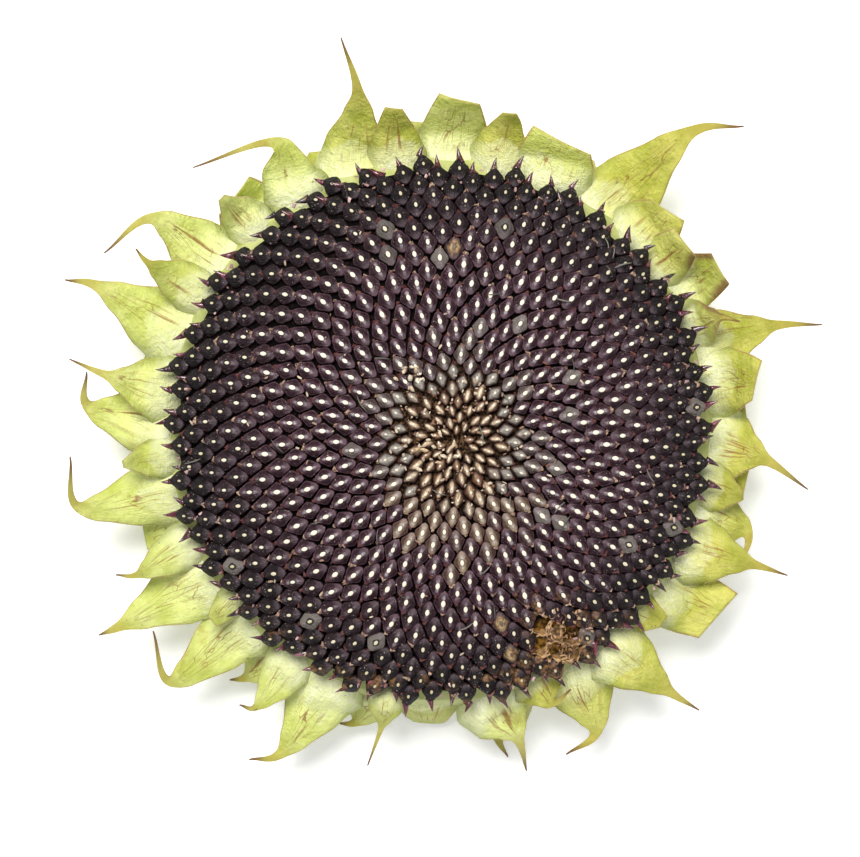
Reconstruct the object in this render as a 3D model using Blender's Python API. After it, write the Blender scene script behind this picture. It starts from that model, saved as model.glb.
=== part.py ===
"""A ripe sunflower head, cut off its stalk and lying on its back with the seeds up.

Three bodies grow into one head:
  receptacle_and_bracts  the green pad with the cut stalk under it and its leafy bracts round it
  seeds                  the dark seeds that cover the pad, with the spiky chaff round their edge
  centre_seeds           the small pale seeds in the middle, which never filled

The origin is in the flat spot under the head, on the head's axis, and +Z points up through
the seeds. Lengths are in metres, except in the bract list, which is in millimetres.
"""

import math
import random
from collections import defaultdict

import bmesh
import bpy
from mathutils import Vector, geometry

MM = 0.001

# The head
HEAD_RADIUS = 90 * MM  # of the seed face
SEED_COUNT = 770
CENTRE_SEED_COUNT = 100  # the pale ones, counted from the middle out
SEED_FIELD_RADIUS = 87.6 * MM  # to the middles of the outermost seeds
CROWDING = 0.129  # the share of the seeds that the middle holds over an even spread
CROWDING_REACH = 0.168  # the share of the seeds over which that crowding dies away
GOLDEN_ANGLE = math.pi * (3 - math.sqrt(5))
SPIRAL_START = math.radians(40)
SPIRAL_CENTRE = Vector((5.6, -3.0)) * MM  # the spirals start a little off the head's axis

# The domed face of the seeds
FACE_EDGE_HEIGHT = 39.5 * MM
FACE_CROWN = 17 * MM  # how far the dome rises from edge to middle
FACE_CROWN_POWER = 2.2
EDGE_DROP = 3 * MM  # how far the last rows roll over
EDGE_DROP_POWER = 12
DIMPLE_DEPTH = 2.2 * MM
DIMPLE_RADIUS = 12 * MM

# One seed, in shares of the local spacing
RIDGE_REACH = 0.33  # the ridge on a seed's top, each way from its middle
VALLEY_DEPTH = 0.46  # how far the joints between seeds lie below the tops

# The green pad
PAD_EDGE_HEIGHT = 28 * MM
PAD_CROWN = 15 * MM
PAD_STEPS = 44
STALK_RADIUS = 15 * MM
BODY_GAP = 0.4 * MM  # between the pad and what stands on it
GROUP_GAP = 0.22 * MM  # drawn in on each side where seeds meet centre seeds

# The spiky chaff round the outermost seeds
CHAFF_REACH = 5.2 * MM
CHAFF_SPREAD = 1.4 * MM
CHAFF_RISE = 0.30  # upwards, as a share of the reach
CHAFF_BAND = 0.34  # how far down the wall a spike's root goes

# Bracts
BRACT_THICKNESS = 0.8 * MM
ROOT_RADIUS = 82  # millimetres, inside the pad
BELLY_RADIUS = 95  # millimetres, where a long bract bulges past the seeds' edge
BELLY_SHARE = 0.55  # of the way to its neck, where a short one does
ROW_ROOT_HEIGHT = (24, 20.5, 17.5)  # millimetres, for the inner, middle and outer row
ROW_BELLY_HEIGHT = (29.5, 23.5, 15.5)
BLADE_STATIONS = 6
TIP_STATIONS = 3
# Width along a blade, from root to neck, as shares of its widest
BLADE_WIDTHS = ((0.0, 0.80), (0.35, 1.0), (0.62, 0.76), (0.84, 0.38), (1.0, 0.15))
TIP_END_WIDTH = 0.9 * MM
BLADE_ARCH = 0.13  # how far the margins lie below the midrib, as a share of the width

INNER, MIDDLE, OUTER = 0, 1, 2

# One line for each bract, anticlockwise from +X: row, root angle, widest width, then the
# neck and the end of the tip, each as distance from the axis, angle and height. A bract
# whose tip was cut or torn off has the share of the width that is left in the tip's place.
BRACTS = (
    (OUTER, 4, 25, (102, 4, 17), 0.4),
    (INNER, 11, 26, (104, 9, 38), 0.5),
    (MIDDLE, 18, 27, (114, 17.5, 32), (130, 15.5, 30)),
    (INNER, 23, 19, (98, 22, 40), (103, 20, 44)),
    (MIDDLE, 31, 23, (105, 30, 37), 0.5),
    (OUTER, 33, 24, (103, 33, 16), 0.3),
    (INNER, 37, 19, (100, 37.5, 40), 0.6),
    (INNER, 44, 25, (103, 44, 36), 0.5),
    (MIDDLE, 55, 31, (126, 50, 36), (139, 45, 42)),
    (OUTER, 62, 25, (104, 62, 15), 0.3),
    (INNER, 66, 29, (102, 67, 37), 0.72),
    (OUTER, 79, 23, (101, 80, 24), 0.35),
    (INNER, 78, 20, (105, 77.5, 41), 0.22),
    (MIDDLE, 88, 27, (107, 86.5, 42), 0.5),
    (OUTER, 96, 24, (102, 94.5, 24), 0.35),
    (INNER, 99, 20, (105, 98, 42), 0.28),
    (MIDDLE, 110, 27, (112, 103.5, 42), (129, 104, 54)),
    (OUTER, 113, 24, (101, 113, 15), 0.3),
    (INNER, 121, 23, (108, 120, 37), (118, 133, 28)),
    (OUTER, 131, 26, (102, 131, 26), 0.6),
    (INNER, 132, 17, (103, 133, 40), 0.16),
    (MIDDLE, 142, 26, (116, 143.5, 35), (124, 152, 29)),
    (OUTER, 150, 24, (103, 152, 16), 0.3),
    (INNER, 150, 18, (108, 150, 40), (114, 149, 43)),
    (MIDDLE, 161, 29, (120, 157, 33), (131, 158, 36)),
    (OUTER, 168, 24, (101, 168, 15), 0.35),
    (INNER, 172, 23, (109, 170.5, 35), (123, 169, 30)),
    (MIDDLE, 180, 29, (115, 176, 27), (116, 170.5, 36)),
    (INNER, 185, 15, (103, 186, 37), 0.14),
    (MIDDLE, 193, 25, (120, 192, 31), (119, 184, 44)),
    (OUTER, 200, 25, (104, 200, 14), 0.3),
    (INNER, 204, 17, (108, 205.5, 37), (115, 204, 35)),
    (MIDDLE, 213, 29, (121, 211.5, 29), (130, 211, 27)),
    (INNER, 219, 11, (96, 220, 36), 0.4),
    (MIDDLE, 226, 25, (120, 223, 29), (113, 215, 38)),
    (OUTER, 235, 24, (104, 232, 13), (108, 230, 15)),
    (INNER, 238, 17, (108, 236.5, 31), (110, 234, 36)),
    (MIDDLE, 248, 27, (118, 244, 21), (125, 240, 23)),
    (INNER, 259, 14, (99, 259, 27), (113, 258, 20)),
    (OUTER, 257, 24, (101, 254, 11), (103, 251, 13)),
    (OUTER, 268, 25, (98, 268, 6), 0.4),
    (MIDDLE, 280, 28, (105, 284.5, 22), (117, 284.5, 11)),
    (OUTER, 284, 24, (105, 281, 7), (112, 282, 4)),
    (INNER, 290, 19, (96, 293, 33), (94, 297, 38)),
    (MIDDLE, 301, 28, (112, 297.5, 21), (115, 291.5, 19)),
    (OUTER, 308, 24, (104, 308, 9), 0.3),
    (INNER, 307, 25, (114, 311.5, 27), (126, 313, 21)),
    (INNER, 317, 15, (96, 319.5, 33), 0.3),
    (MIDDLE, 324, 25, (110, 326.5, 26), 0.75),
    (OUTER, 330, 24, (102, 330, 13), 0.35),
    (INNER, 334, 25, (111, 337, 30), (124, 337.5, 25)),
    (MIDDLE, 343, 25, (107, 341.5, 25), (108, 335.5, 30)),
    (INNER, 348.5, 18, (101, 348, 36), 0.12),
    (OUTER, 352, 24, (103, 351, 20), 0.5),
    (MIDDLE, 358.5, 29, (107, 355, 31), (123, 351, 23)),
)


def clear_scene():
    for item in list(bpy.data.objects):
        bpy.data.objects.remove(item)


def finish_of(name, colour, roughness):
    """A plain material for one body."""
    material = bpy.data.materials.new(name)
    material.use_nodes = True
    shader = material.node_tree.nodes["Principled BSDF"]
    shader.inputs["Base Color"].default_value = (*colour, 1)
    shader.inputs["Roughness"].default_value = roughness
    shader.inputs["Metallic"].default_value = 0
    return material


def object_from(name, bm, material):
    """A new object from a closed bmesh, its faces turned outwards."""
    bmesh.ops.recalc_face_normals(bm, faces=bm.faces)
    mesh = bpy.data.meshes.new(name)
    bm.to_mesh(mesh)
    bm.free()
    made = bpy.data.objects.new(name, mesh)
    mesh.materials.append(material)
    bpy.context.scene.collection.objects.link(made)
    return made


def face_height(radius):
    """The height of the seeds' tops at a distance from the axis."""
    share = radius / HEAD_RADIUS
    dome = FACE_CROWN * (1 - share**FACE_CROWN_POWER)
    dimple = DIMPLE_DEPTH * math.exp(-((radius / DIMPLE_RADIUS) ** 2))
    return FACE_EDGE_HEIGHT + dome - EDGE_DROP * share**EDGE_DROP_POWER - dimple


def pad_height(radius):
    """The height of the pad under the seeds."""
    return PAD_EDGE_HEIGHT + PAD_CROWN * (1 - (radius / HEAD_RADIUS) ** 2)


def spread(count_share):
    """The share of the field's area that a share of the seeds covers, before scaling."""
    return count_share - CROWDING * (1 - math.exp(-count_share / CROWDING_REACH))


def seed_share(number):
    """How far out a seed stands, as a share of the field's radius."""
    return math.sqrt(spread((number + 0.5) / SEED_COUNT) / spread(1))


def seed_plan(number):
    """Where a seed stands in plan: each is one golden angle further round than the last."""
    share = seed_share(number)
    turn = SPIRAL_START + number * GOLDEN_ANGLE
    outward = Vector((math.cos(turn), math.sin(turn)))
    return outward * SEED_FIELD_RADIUS * share + SPIRAL_CENTRE * max(0, 1 - share**2)


def seed_spacing(number):
    """The side of the square that would hold one seed there."""
    even = math.pi * SEED_FIELD_RADIUS**2 / (SEED_COUNT * spread(1))
    fade = math.exp(-(number + 0.5) / SEED_COUNT / CROWDING_REACH)
    return math.sqrt(even * (1 - CROWDING / CROWDING_REACH * fade))


def on_face(plan, depth):
    """The point that lies under the seeds' dome at plan, by depth, square to the dome."""
    step = 0.5 * MM
    radius = plan.length
    slope = (face_height(radius + step) - face_height(max(0, radius - step))) / (2 * step)
    outward = plan.normalized() if radius > 0 else Vector((1, 0))
    square = Vector((-slope * outward.x, -slope * outward.y, 1)).normalized()
    return Vector((*plan, face_height(radius))) - square * depth


def seed_cells():
    """Every seed's corners, in order round it, as (plan position, the three seeds there)."""
    past_rim = SEED_COUNT // 6
    places = [seed_plan(n) for n in range(SEED_COUNT + past_rim)]
    triangles = geometry.delaunay_2d_cdt(places, [], [], 0, 1e-9)[2]
    cells = defaultdict(list)
    for three in triangles:
        corner = sum((places[n] for n in three), Vector((0, 0))) / 3
        for n in three:
            cells[n].append((corner, tuple(sorted(three))))
    for n, corners in cells.items():
        corners.sort(key=lambda c: math.atan2(c[0].y - places[n].y, c[0].x - places[n].x))
    return places, cells


def inside(point, loop):
    """Whether a plan point lies in a closed loop of plan points."""
    hit = False
    for a, b in zip(loop, loop[1:] + loop[:1]):
        if (a.y > point.y) != (b.y > point.y):
            crossing = a.x + (point.y - a.y) / (b.y - a.y) * (b.x - a.x)
            hit = hit != (point.x < crossing)
    return hit


def ordered_loops(edges):
    """The closed rings of vertices that a set of boundary edges forms."""
    beside = defaultdict(list)
    for edge in edges:
        for vert in edge.verts:
            beside[vert].append(edge.other_vert(vert))
    loops, left = [], set(beside)
    while left:
        ring = [left.pop()]
        while True:
            onward = [v for v in beside[ring[-1]] if v in left]
            if not onward:
                break
            ring.append(onward[0])
            left.discard(onward[0])
        loops.append(ring)
    return loops


def add_seed_tops(bm, first, last, places, cells):
    """The relief of seeds first to last: each rises from its corners to a ridge on its top."""
    corners = {}

    def corner_vert(plan, three):
        if three not in corners:
            own = [n for n in three if first <= n < last]
            if len(own) < len(three):
                home = sum((places[n] for n in own), Vector((0, 0))) / len(own)
                plan = plan + (home - plan).normalized() * GROUP_GAP
            depth = VALLEY_DEPTH * seed_spacing(min(own[0], SEED_COUNT))
            corners[three] = bm.verts.new(on_face(plan, depth))
        return corners[three]

    for n in range(first, last):
        place, reach = places[n], RIDGE_REACH * seed_spacing(n)
        outward = (place - SPIRAL_CENTRE).normalized()
        ends = [bm.verts.new(on_face(place + outward * reach * way, 0)) for way in (-1, 1)]
        ring = [(corner_vert(*c), ends[(c[0] - place).dot(outward) > 0]) for c in cells[n]]
        for (a, end_a), (b, end_b) in zip(ring, ring[1:] + ring[:1]):
            bm.faces.new((a, b, end_a))
            if end_a is not end_b:
                bm.faces.new((b, end_b, end_a))


def lowered(vert, share):
    """A wall point, share of the way from the seeds' edge down to just above the pad."""
    top = vert.copy()
    outer = Vector(top.xy).length > 0.8 * HEAD_RADIUS
    plan = top.xy * (0.955 if outer else 1)
    foot = Vector((*plan, pad_height(plan.length) + BODY_GAP))
    return top.lerp(foot, share)


def add_wall(bm, spiky):
    """The side of a group of seeds, from the edge of its tops down to the pad."""
    edges = [e for e in bm.edges if e.is_boundary]
    tops = {v: v.co.copy() for e in edges for v in e.verts}
    for share in (CHAFF_BAND, 1.0):
        made = bmesh.ops.extrude_edge_only(bm, edges=edges)["geom"]
        bands = [f for f in {f for e in edges for f in e.link_faces} if len(f.verts) == 4]
        fresh = [v for v in made if isinstance(v, bmesh.types.BMVert)]
        above = {v: next(e.other_vert(v) for e in v.link_edges if e.other_vert(v) in tops) for v in fresh}
        for vert, upper in above.items():
            vert.co = lowered(tops[upper], share)
        tops = {v: tops[upper] for v, upper in above.items()}
        edges = [e for e in made if isinstance(e, bmesh.types.BMEdge)]
        if spiky and share == CHAFF_BAND:
            add_chaff(bm, bands)
    return edges


def add_chaff(bm, bands):
    """Draws every other outer face of the wall's top band out into a spike."""
    draw = random.Random(5)
    outer = [f for f in bands if f.calc_center_median().xy.length > 0.8 * HEAD_RADIUS]
    outer.sort(key=lambda f: math.atan2(f.calc_center_median().y, f.calc_center_median().x))
    for vert in bmesh.ops.poke(bm, faces=outer[::2])["verts"]:
        outward = Vector((*vert.co.xy, 0)).normalized()
        sideways = Vector((-outward.y, outward.x, 0)) * draw.uniform(-0.25, 0.25)
        reach = CHAFF_REACH + draw.uniform(-1, 1) * CHAFF_SPREAD
        vert.co += (outward + sideways + Vector((0, 0, CHAFF_RISE))) * reach


def add_underside(bm, edges):
    """Closes a group of seeds from below, just clear of the domed pad."""
    loops = sorted(ordered_loops(edges), key=len, reverse=True)
    verts = [v for loop in loops for v in loop]
    rims = [[v.co.xy for v in loop] for loop in loops]
    fixed, start = [], 0
    for loop in loops:
        count = len(loop)
        fixed += [(start + i, start + (i + 1) % count) for i in range(count)]
        start += count
    clear = 4 * MM
    for radius in (12, 28, 42, 56, 69, 80):
        steps = PAD_STEPS if radius > 20 else PAD_STEPS // 3
        for i in range(steps):
            turn = 2 * math.pi * i / steps
            plan = Vector((math.cos(turn), math.sin(turn))) * radius * MM
            off_rims = min((plan - p).length for rim in rims for p in rim) > clear
            if off_rims and inside(plan, rims[0]) and not any(inside(plan, r) for r in rims[1:]):
                verts.append(bm.verts.new((*plan, pad_height(radius * MM) + BODY_GAP)))
    flat = [v.co.xy for v in verts]
    for three in geometry.delaunay_2d_cdt(flat, fixed, [], 0, 1e-9)[2]:
        middle = sum((flat[n] for n in three), Vector((0, 0))) / 3
        if inside(middle, rims[0]) and not any(inside(middle, r) for r in rims[1:]):
            bm.faces.new([verts[n] for n in three])


def make_seeds(name, first, last, places, cells, material, spiky):
    """Seeds first to last as one closed body that stands on the pad."""
    bm = bmesh.new()
    add_seed_tops(bm, first, last, places, cells)
    add_underside(bm, add_wall(bm, spiky))
    return object_from(name, bm, material)


def make_pad(material):
    """The pad and the cut stalk under it, turned about the head's axis."""
    stalk = STALK_RADIUS
    side = [
        (0, 0), (stalk - 0.8 * MM, 0), (stalk, 0.8 * MM), (stalk, 4.5 * MM),
        (19 * MM, 7.5 * MM), (34 * MM, 9 * MM), (58 * MM, 10 * MM), (75 * MM, 12 * MM),
        (86 * MM, 16.5 * MM), (90.5 * MM, 22 * MM), (88.5 * MM, 27.2 * MM),
    ]
    top = [(r * MM, pad_height(r * MM)) for r in (84, 69, 56, 42, 28, 12, 0)]
    bm = bmesh.new()
    rim = [bm.verts.new((r, 0, z)) for r, z in side + top]
    line = [bm.edges.new(pair) for pair in zip(rim, rim[1:])]
    bmesh.ops.spin(bm, geom=rim + line, cent=(0, 0, 0), axis=(0, 0, 1), angle=2 * math.pi,
                   steps=PAD_STEPS, use_merge=True)
    bmesh.ops.remove_doubles(bm, verts=bm.verts, dist=0.01 * MM)
    return object_from("receptacle_and_bracts", bm, material)


def around(distance, degrees, height):
    """A point from its distance from the axis, angle and height, in millimetres."""
    turn = math.radians(degrees)
    return Vector((distance * math.cos(turn), distance * math.sin(turn), height)) * MM


def through(points, span, t):
    """A point on the smooth curve through points, t of the way along one span."""
    first = 2 * points[0] - points[1]
    last = 2 * points[-1] - points[-2]
    a, b, c, d = ([first] + points + [last])[span : span + 4]
    return 0.5 * (2 * b + (c - a) * t + (2 * a - 5 * b + 4 * c - d) * t**2
                  + (3 * b - a - 3 * c + d) * t**3)


def share_at(pairs, along):
    """Straight-line reading of a list of (position, value) pairs."""
    for (u0, v0), (u1, v1) in zip(pairs, pairs[1:]):
        if along <= u1:
            return v0 + (v1 - v0) * (along - u0) / (u1 - u0)
    return pairs[-1][1]


def bract_stations(row, root_angle, width, neck, tip):
    """The middle, width and arch of a bract at each station, from its root to its end."""
    cut = not isinstance(tip, tuple)
    belly = min(BELLY_RADIUS, ROOT_RADIUS + BELLY_SHARE * (neck[0] - ROOT_RADIUS))
    points = [
        around(ROOT_RADIUS, root_angle, ROW_ROOT_HEIGHT[row]),
        around(belly, (root_angle + neck[1]) / 2, ROW_BELLY_HEIGHT[row]),
        around(*neck),
    ]
    points += [] if cut else [around(*tip)]
    stations = []
    for i in range(BLADE_STATIONS + 1):
        along = i / BLADE_STATIONS
        span, t = divmod(along * 2, 1)
        middle = through(points, int(span), t) if along < 1 else points[2].copy()
        share = share_at(BLADE_WIDTHS, along)
        if cut:
            share = max(share, 1 - (1 - tip) * along**2) if along > 0.35 else share
        stations.append((middle, width * MM * share, BLADE_ARCH * (1 - 0.6 * along)))
    if not cut:
        neck_width = stations[-1][1]
        for i in range(1, TIP_STATIONS + 1):
            t = i / TIP_STATIONS
            middle = through(points, 2, t) if t < 1 else points[3].copy()
            stations.append((middle, neck_width + (TIP_END_WIDTH - neck_width) * t**0.7, 0))
    return stations


def make_bract(name, material, *line):
    """One bract: a thin arched blade that starts well inside the pad."""
    stations = bract_stations(*line)
    bm = bmesh.new()
    rings = []
    for i, (middle, width, arch) in enumerate(stations):
        ahead = stations[min(i + 1, len(stations) - 1)][0] - stations[max(i - 1, 0)][0]
        level = Vector((ahead.y, -ahead.x, 0)).normalized()
        square = level.cross(ahead).normalized()
        row = [middle + level * width / 2 * way - square * width * arch * abs(way) for way in (-1, 0, 1)]
        half = square * BRACT_THICKNESS / 2
        rings.append([[bm.verts.new(p + half) for p in row], [bm.verts.new(p - half) for p in row]])
    for (up_a, low_a), (up_b, low_b) in zip(rings, rings[1:]):
        for side in (0, 1):
            for a, b in ((up_a, up_b), (low_a, low_b)):
                bm.faces.new((a[side], a[side + 1], b[side + 1]))
                bm.faces.new((a[side], b[side + 1], b[side]))
        for margin in (0, 2):
            bm.faces.new((up_a[margin], low_a[margin], low_b[margin]))
            bm.faces.new((up_a[margin], low_b[margin], up_b[margin]))
    for upper, lower in (rings[0], rings[-1]):
        for side in (0, 1):
            bm.faces.new((upper[side], upper[side + 1], lower[side + 1], lower[side]))
    return object_from(name, bm, material)


def join_bracts(pad, blades):
    """Fuses the bracts into the pad that they grow from."""
    group = bpy.data.collections.new("bract blades")
    for blade in blades:
        group.objects.link(blade)
    union = pad.modifiers.new("bracts", "BOOLEAN")
    union.operation = "UNION"
    union.operand_type = "COLLECTION"
    union.collection = group
    union.solver = "EXACT"
    graph = bpy.context.evaluated_depsgraph_get()
    joined = bpy.data.meshes.new_from_object(pad.evaluated_get(graph))
    pad.modifiers.clear()
    pad.data = joined
    for blade in blades:
        bpy.data.objects.remove(blade)
    bpy.data.collections.remove(group)


def build():
    clear_scene()
    green = finish_of("green rind", (0.55, 0.62, 0.20), 0.6)
    dark = finish_of("ripe seed", (0.035, 0.022, 0.035), 0.4)
    pale = finish_of("unfilled seed", (0.36, 0.26, 0.15), 0.6)
    places, cells = seed_cells()
    make_seeds("seeds", CENTRE_SEED_COUNT, SEED_COUNT, places, cells, dark, spiky=True)
    make_seeds("centre_seeds", 0, CENTRE_SEED_COUNT, places, cells, pale, spiky=False)
    pad = make_pad(green)
    blades = [make_bract(f"bract_{i:02d}", green, *line) for i, line in enumerate(BRACTS)]
    join_bracts(pad, blades)


build()
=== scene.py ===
"""A ripe sunflower head, cut off its stalk and lying on its back, seen from straight above.

The pad comes first, then the bracts round it, the seeds on it with their chaff, the pale
seeds of the middle, and last what has dried, broken or been eaten. Lengths are in metres.
"""

import math
import random

import bmesh
import bpy
from mathutils import Matrix, Vector, geometry, noise


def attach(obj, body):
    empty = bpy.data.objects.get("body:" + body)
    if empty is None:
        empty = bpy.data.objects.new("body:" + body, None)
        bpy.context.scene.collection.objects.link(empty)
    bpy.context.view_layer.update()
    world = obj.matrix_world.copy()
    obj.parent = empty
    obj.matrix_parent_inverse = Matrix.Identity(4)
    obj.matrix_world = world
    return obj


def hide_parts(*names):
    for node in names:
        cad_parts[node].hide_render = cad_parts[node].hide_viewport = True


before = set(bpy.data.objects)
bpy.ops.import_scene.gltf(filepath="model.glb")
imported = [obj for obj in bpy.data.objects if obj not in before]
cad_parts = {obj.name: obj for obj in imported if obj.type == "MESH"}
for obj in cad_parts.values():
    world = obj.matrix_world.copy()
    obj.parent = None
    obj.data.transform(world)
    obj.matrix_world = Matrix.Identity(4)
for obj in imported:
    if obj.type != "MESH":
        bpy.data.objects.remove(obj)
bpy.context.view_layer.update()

# The pad
# The receptacle is one spongy disc of pith in a ribbed green rind, a shallow cup from behind.
# It is grown in one piece with its stalk, which is cut flush and shows its pale pith.

MM = 0.001
HEAD_RADIUS = 90 * MM
PAD_EDGE_HEIGHT = 28 * MM
PAD_CROWN = 15 * MM
PAD_TOP_RADIUS = 88 * MM
STALK_RADIUS = 15 * MM
RIB_COUNT = 34
RIB_RELIEF = 0.9 * MM
LUMP_RELIEF = 0.5 * MM
FLAT_SPOT_EDGE = 0.8 * MM  # the rounding between the cut face and the stalk's side
RIBS_END_HEIGHT = 24 * MM
STEEP_FROM, STEEP_SPAN = 80 * MM, 10 * MM  # where the rind turns up into the pad's side
PAD_TURNS = 204
PAD_TOP_RINGS = 8
# From the cut stalk outwards: distance from the axis and height, in millimetres
PAD_SIDE = (
    (14.2, 0), (15, 0.8), (15, 4.2), (16.4, 6.2), (19.5, 7.6), (26, 8.5), (34, 9), (46, 9.4),
    (58, 10), (67, 10.8), (75, 12), (81, 13.9), (86, 16.6), (89.2, 19.4), (90.3, 22),
    (90, 24.6), (88.5, 27),
)


class Signal:
    """What comes out of a node. Sums on it add Math nodes to the same tree."""

    def __init__(self, graph, socket):
        self.graph, self.socket = graph, socket

    def __add__(self, other):
        return self.graph.maths("ADD", self, other)

    def __rsub__(self, other):
        return self.graph.maths("SUBTRACT", other, self)

    def __mul__(self, other):
        return self.graph.maths("MULTIPLY", self, other)

    def __abs__(self):
        return self.graph.maths("ABSOLUTE", self)

    __radd__, __rmul__ = __add__, __mul__


class Graph:
    """A node tree that is put together one call at a time."""

    def __init__(self, tree):
        self.tree = tree

    def node(self, kind, settings=None, values=None, out=0):
        """Adds a node: its settings first, then a value or a link for each socket."""
        made = self.tree.nodes.new(kind)
        for name, value in (settings or {}).items():
            setattr(made, name, value)
        for socket, value in (values or {}).items():
            self.feed(made.inputs[socket], value)
        return Signal(self, made.outputs[out])

    def feed(self, socket, value):
        if isinstance(value, Signal):
            self.tree.links.new(value.socket, socket)
        else:
            socket.default_value = value

    def maths(self, operation, *terms):
        """A number from one or two others."""
        return self.node("ShaderNodeMath", {"operation": operation}, dict(enumerate(terms)))

    def vectors(self, operation, *terms, out="Vector"):
        """A vector, or with out="Value" a number, from one or two vectors."""
        settings = {"operation": operation}
        return self.node("ShaderNodeVectorMath", settings, dict(enumerate(terms)), out)

    def vector(self, x, y, z):
        return self.node("ShaderNodeCombineXYZ", None, {0: x, 1: y, 2: z})

    def part_of(self, vector, axis):
        return self.node("ShaderNodeSeparateXYZ", None, {0: vector}, out=axis)

    def mix(self, factor, first, second):
        """A colour between two colours."""
        settings = {"data_type": "RGBA", "clamp_factor": True}
        return self.node("ShaderNodeMix", settings, {0: factor, 6: first, 7: second}, out=2)

    def between(self, signal, low, high):
        """0 below low, 1 above high and smooth on the way. High may be the smaller one."""
        settings = {"interpolation_type": "SMOOTHSTEP"}
        return self.node("ShaderNodeMapRange", settings, {0: signal, 1: low, 2: high})


def shade(red, green, blue):
    """A colour as the eye reads it, 0 to 255, turned into the light that a shader needs."""
    return (*(((c / 255 + 0.055) / 1.055) ** 2.4 for c in (red, green, blue)), 1)


class Finish(Graph):
    """A material: a graph around one Principled shader."""

    def __init__(self, name, **fixed):
        self.material = bpy.data.materials.new(name)
        self.material.use_nodes = True
        super().__init__(self.material.node_tree)
        self.shader = self.tree.nodes["Principled BSDF"]
        for socket, value in fixed.items():
            self.shader.inputs[socket.replace("_", " ")].default_value = value

    def here(self):
        """The point on the object, from its own origin."""
        return self.node("ShaderNodeTexCoord", out="Object")

    def distance(self, place=(0, 0, 0)):
        """How far the point on the object lies from a place."""
        return self.vectors("LENGTH", self.vectors("SUBTRACT", self.here(), place), out="Value")

    def grain(self, scale, detail=3.0, rough=0.55):
        """Soft noise, scale cycles to the metre."""
        values = {"Vector": self.here(), "Scale": scale, "Detail": detail, "Roughness": rough}
        return self.node("ShaderNodeTexNoise", None, values)

    def drawn_out(self, x, y, z, detail, scale=1.0):
        """Noise on numbers that follow a piece, so that it runs along or across it."""
        values = {"Vector": self.vector(x, y, z), "Scale": scale, "Detail": detail}
        return self.node("ShaderNodeTexNoise", None, values)

    def attribute(self, name, out="Fac"):
        return self.node("ShaderNodeAttribute", {"attribute_name": name}, out=out)

    def paint(self, colour, roughness=None, height=None, relief=0.3 * MM, strength=0.6):
        """Sends colour, roughness and a bump height to the shader."""
        self.feed(self.shader.inputs["Base Color"], colour)
        if roughness is not None:
            self.feed(self.shader.inputs["Roughness"], roughness)
        if height is not None:
            values = {"Height": height, "Distance": relief, "Strength": strength}
            self.feed(self.shader.inputs["Normal"], self.node("ShaderNodeBump", None, values))


def clamped(share):
    return min(1, max(0, share))


def pad_height(radius):
    return PAD_EDGE_HEIGHT + PAD_CROWN * (1 - (radius / HEAD_RADIUS) ** 2)


def new_object(name, bm, *materials, smooth=True):
    """An object from a bmesh, its faces turned outwards, its origin at the head's."""
    bmesh.ops.recalc_face_normals(bm, faces=bm.faces)
    mesh = bpy.data.meshes.new(name)
    bm.to_mesh(mesh)
    bm.free()
    for material in materials:
        mesh.materials.append(material)
    mesh.polygons.foreach_set("use_smooth", [smooth] * len(mesh.polygons))
    made = bpy.data.objects.new(name, mesh)
    bpy.context.scene.collection.objects.link(made)
    return made


def turned(side, turns, ribbed):
    """A closed bmesh from a side line turned about the axis, from axis to axis."""
    bm = bmesh.new()
    rings = []
    for radius, height in side:
        if radius == 0:
            rings.append([bm.verts.new((0, 0, height))] * turns)
            continue
        ring = []
        for i in range(turns):
            turn = 2 * math.pi * i / turns
            out, up = ribbed(radius, height, turn)
            ring.append(bm.verts.new((out * math.cos(turn), out * math.sin(turn), up)))
        rings.append(ring)
    for low, high in zip(rings, rings[1:]):
        for i in range(turns):
            j = (i + 1) % turns
            corners = dict.fromkeys((low[i], low[j], high[j], high[i]))
            bm.faces.new(corners)
    return bm


def rind_relief(radius, height, turn):
    """Ribs run from the stalk out to the bracts; they fade on the flat spot and at the edge."""
    wander = 0.5 * noise.noise(Vector((math.cos(turn), math.sin(turn), radius * 25)) * 2)
    rib = abs(math.cos((turn + wander * 0.12) * RIB_COUNT / 2)) ** 3
    fade = clamped((height - FLAT_SPOT_EDGE) / (3 * MM))
    fade *= clamped((RIBS_END_HEIGHT - height) / (6 * MM))
    lumps = noise.noise(Vector((math.cos(turn) * radius, math.sin(turn) * radius, height)) * 90)
    drop = fade * (RIB_RELIEF * rib + LUMP_RELIEF * lumps)
    steep = clamped((radius - STEEP_FROM) / STEEP_SPAN)
    return radius + steep * drop, height - (1 - steep) * drop * (radius > STALK_RADIUS)


rind = Finish("pad rind", Roughness=0.6, Subsurface_Weight=0.08,
              Subsurface_Radius=(0.004, 0.003, 0.001))
sideways, away, up = (rind.part_of(rind.here(), axis) for axis in "XYZ")
from_cut = rind.distance()
cut_face = rind.between(up, 1.3 * MM, 0.5 * MM)
rind_green = rind.mix(rind.grain(60), shade(132, 142, 44), shade(176, 182, 84))
rind_green = rind.mix(rind.between(from_cut, 30 * MM, 14 * MM), rind_green, shade(170, 172, 104))
flecks_and_glints = rind.between(rind.grain(420, 5), 0.62, 0.74)
rind_green = rind.mix(flecks_and_glints * 0.5, rind_green, shade(120, 96, 50))
lines = rind.drawn_out(rind.maths("ARCTAN2", away, sideways) * 16, from_cut * 22, 0.0, detail=4)
rind_green = rind.mix(rind.between(lines, 0.52, 0.68) * 0.45, rind_green, shade(104, 116, 36))
pale_rim = rind.mix(rind.grain(300, 4), shade(150, 158, 70), shade(216, 220, 152))
rind_green = rind.mix(rind.between(up, 20 * MM, 26 * MM), rind_green, pale_rim)
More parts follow.
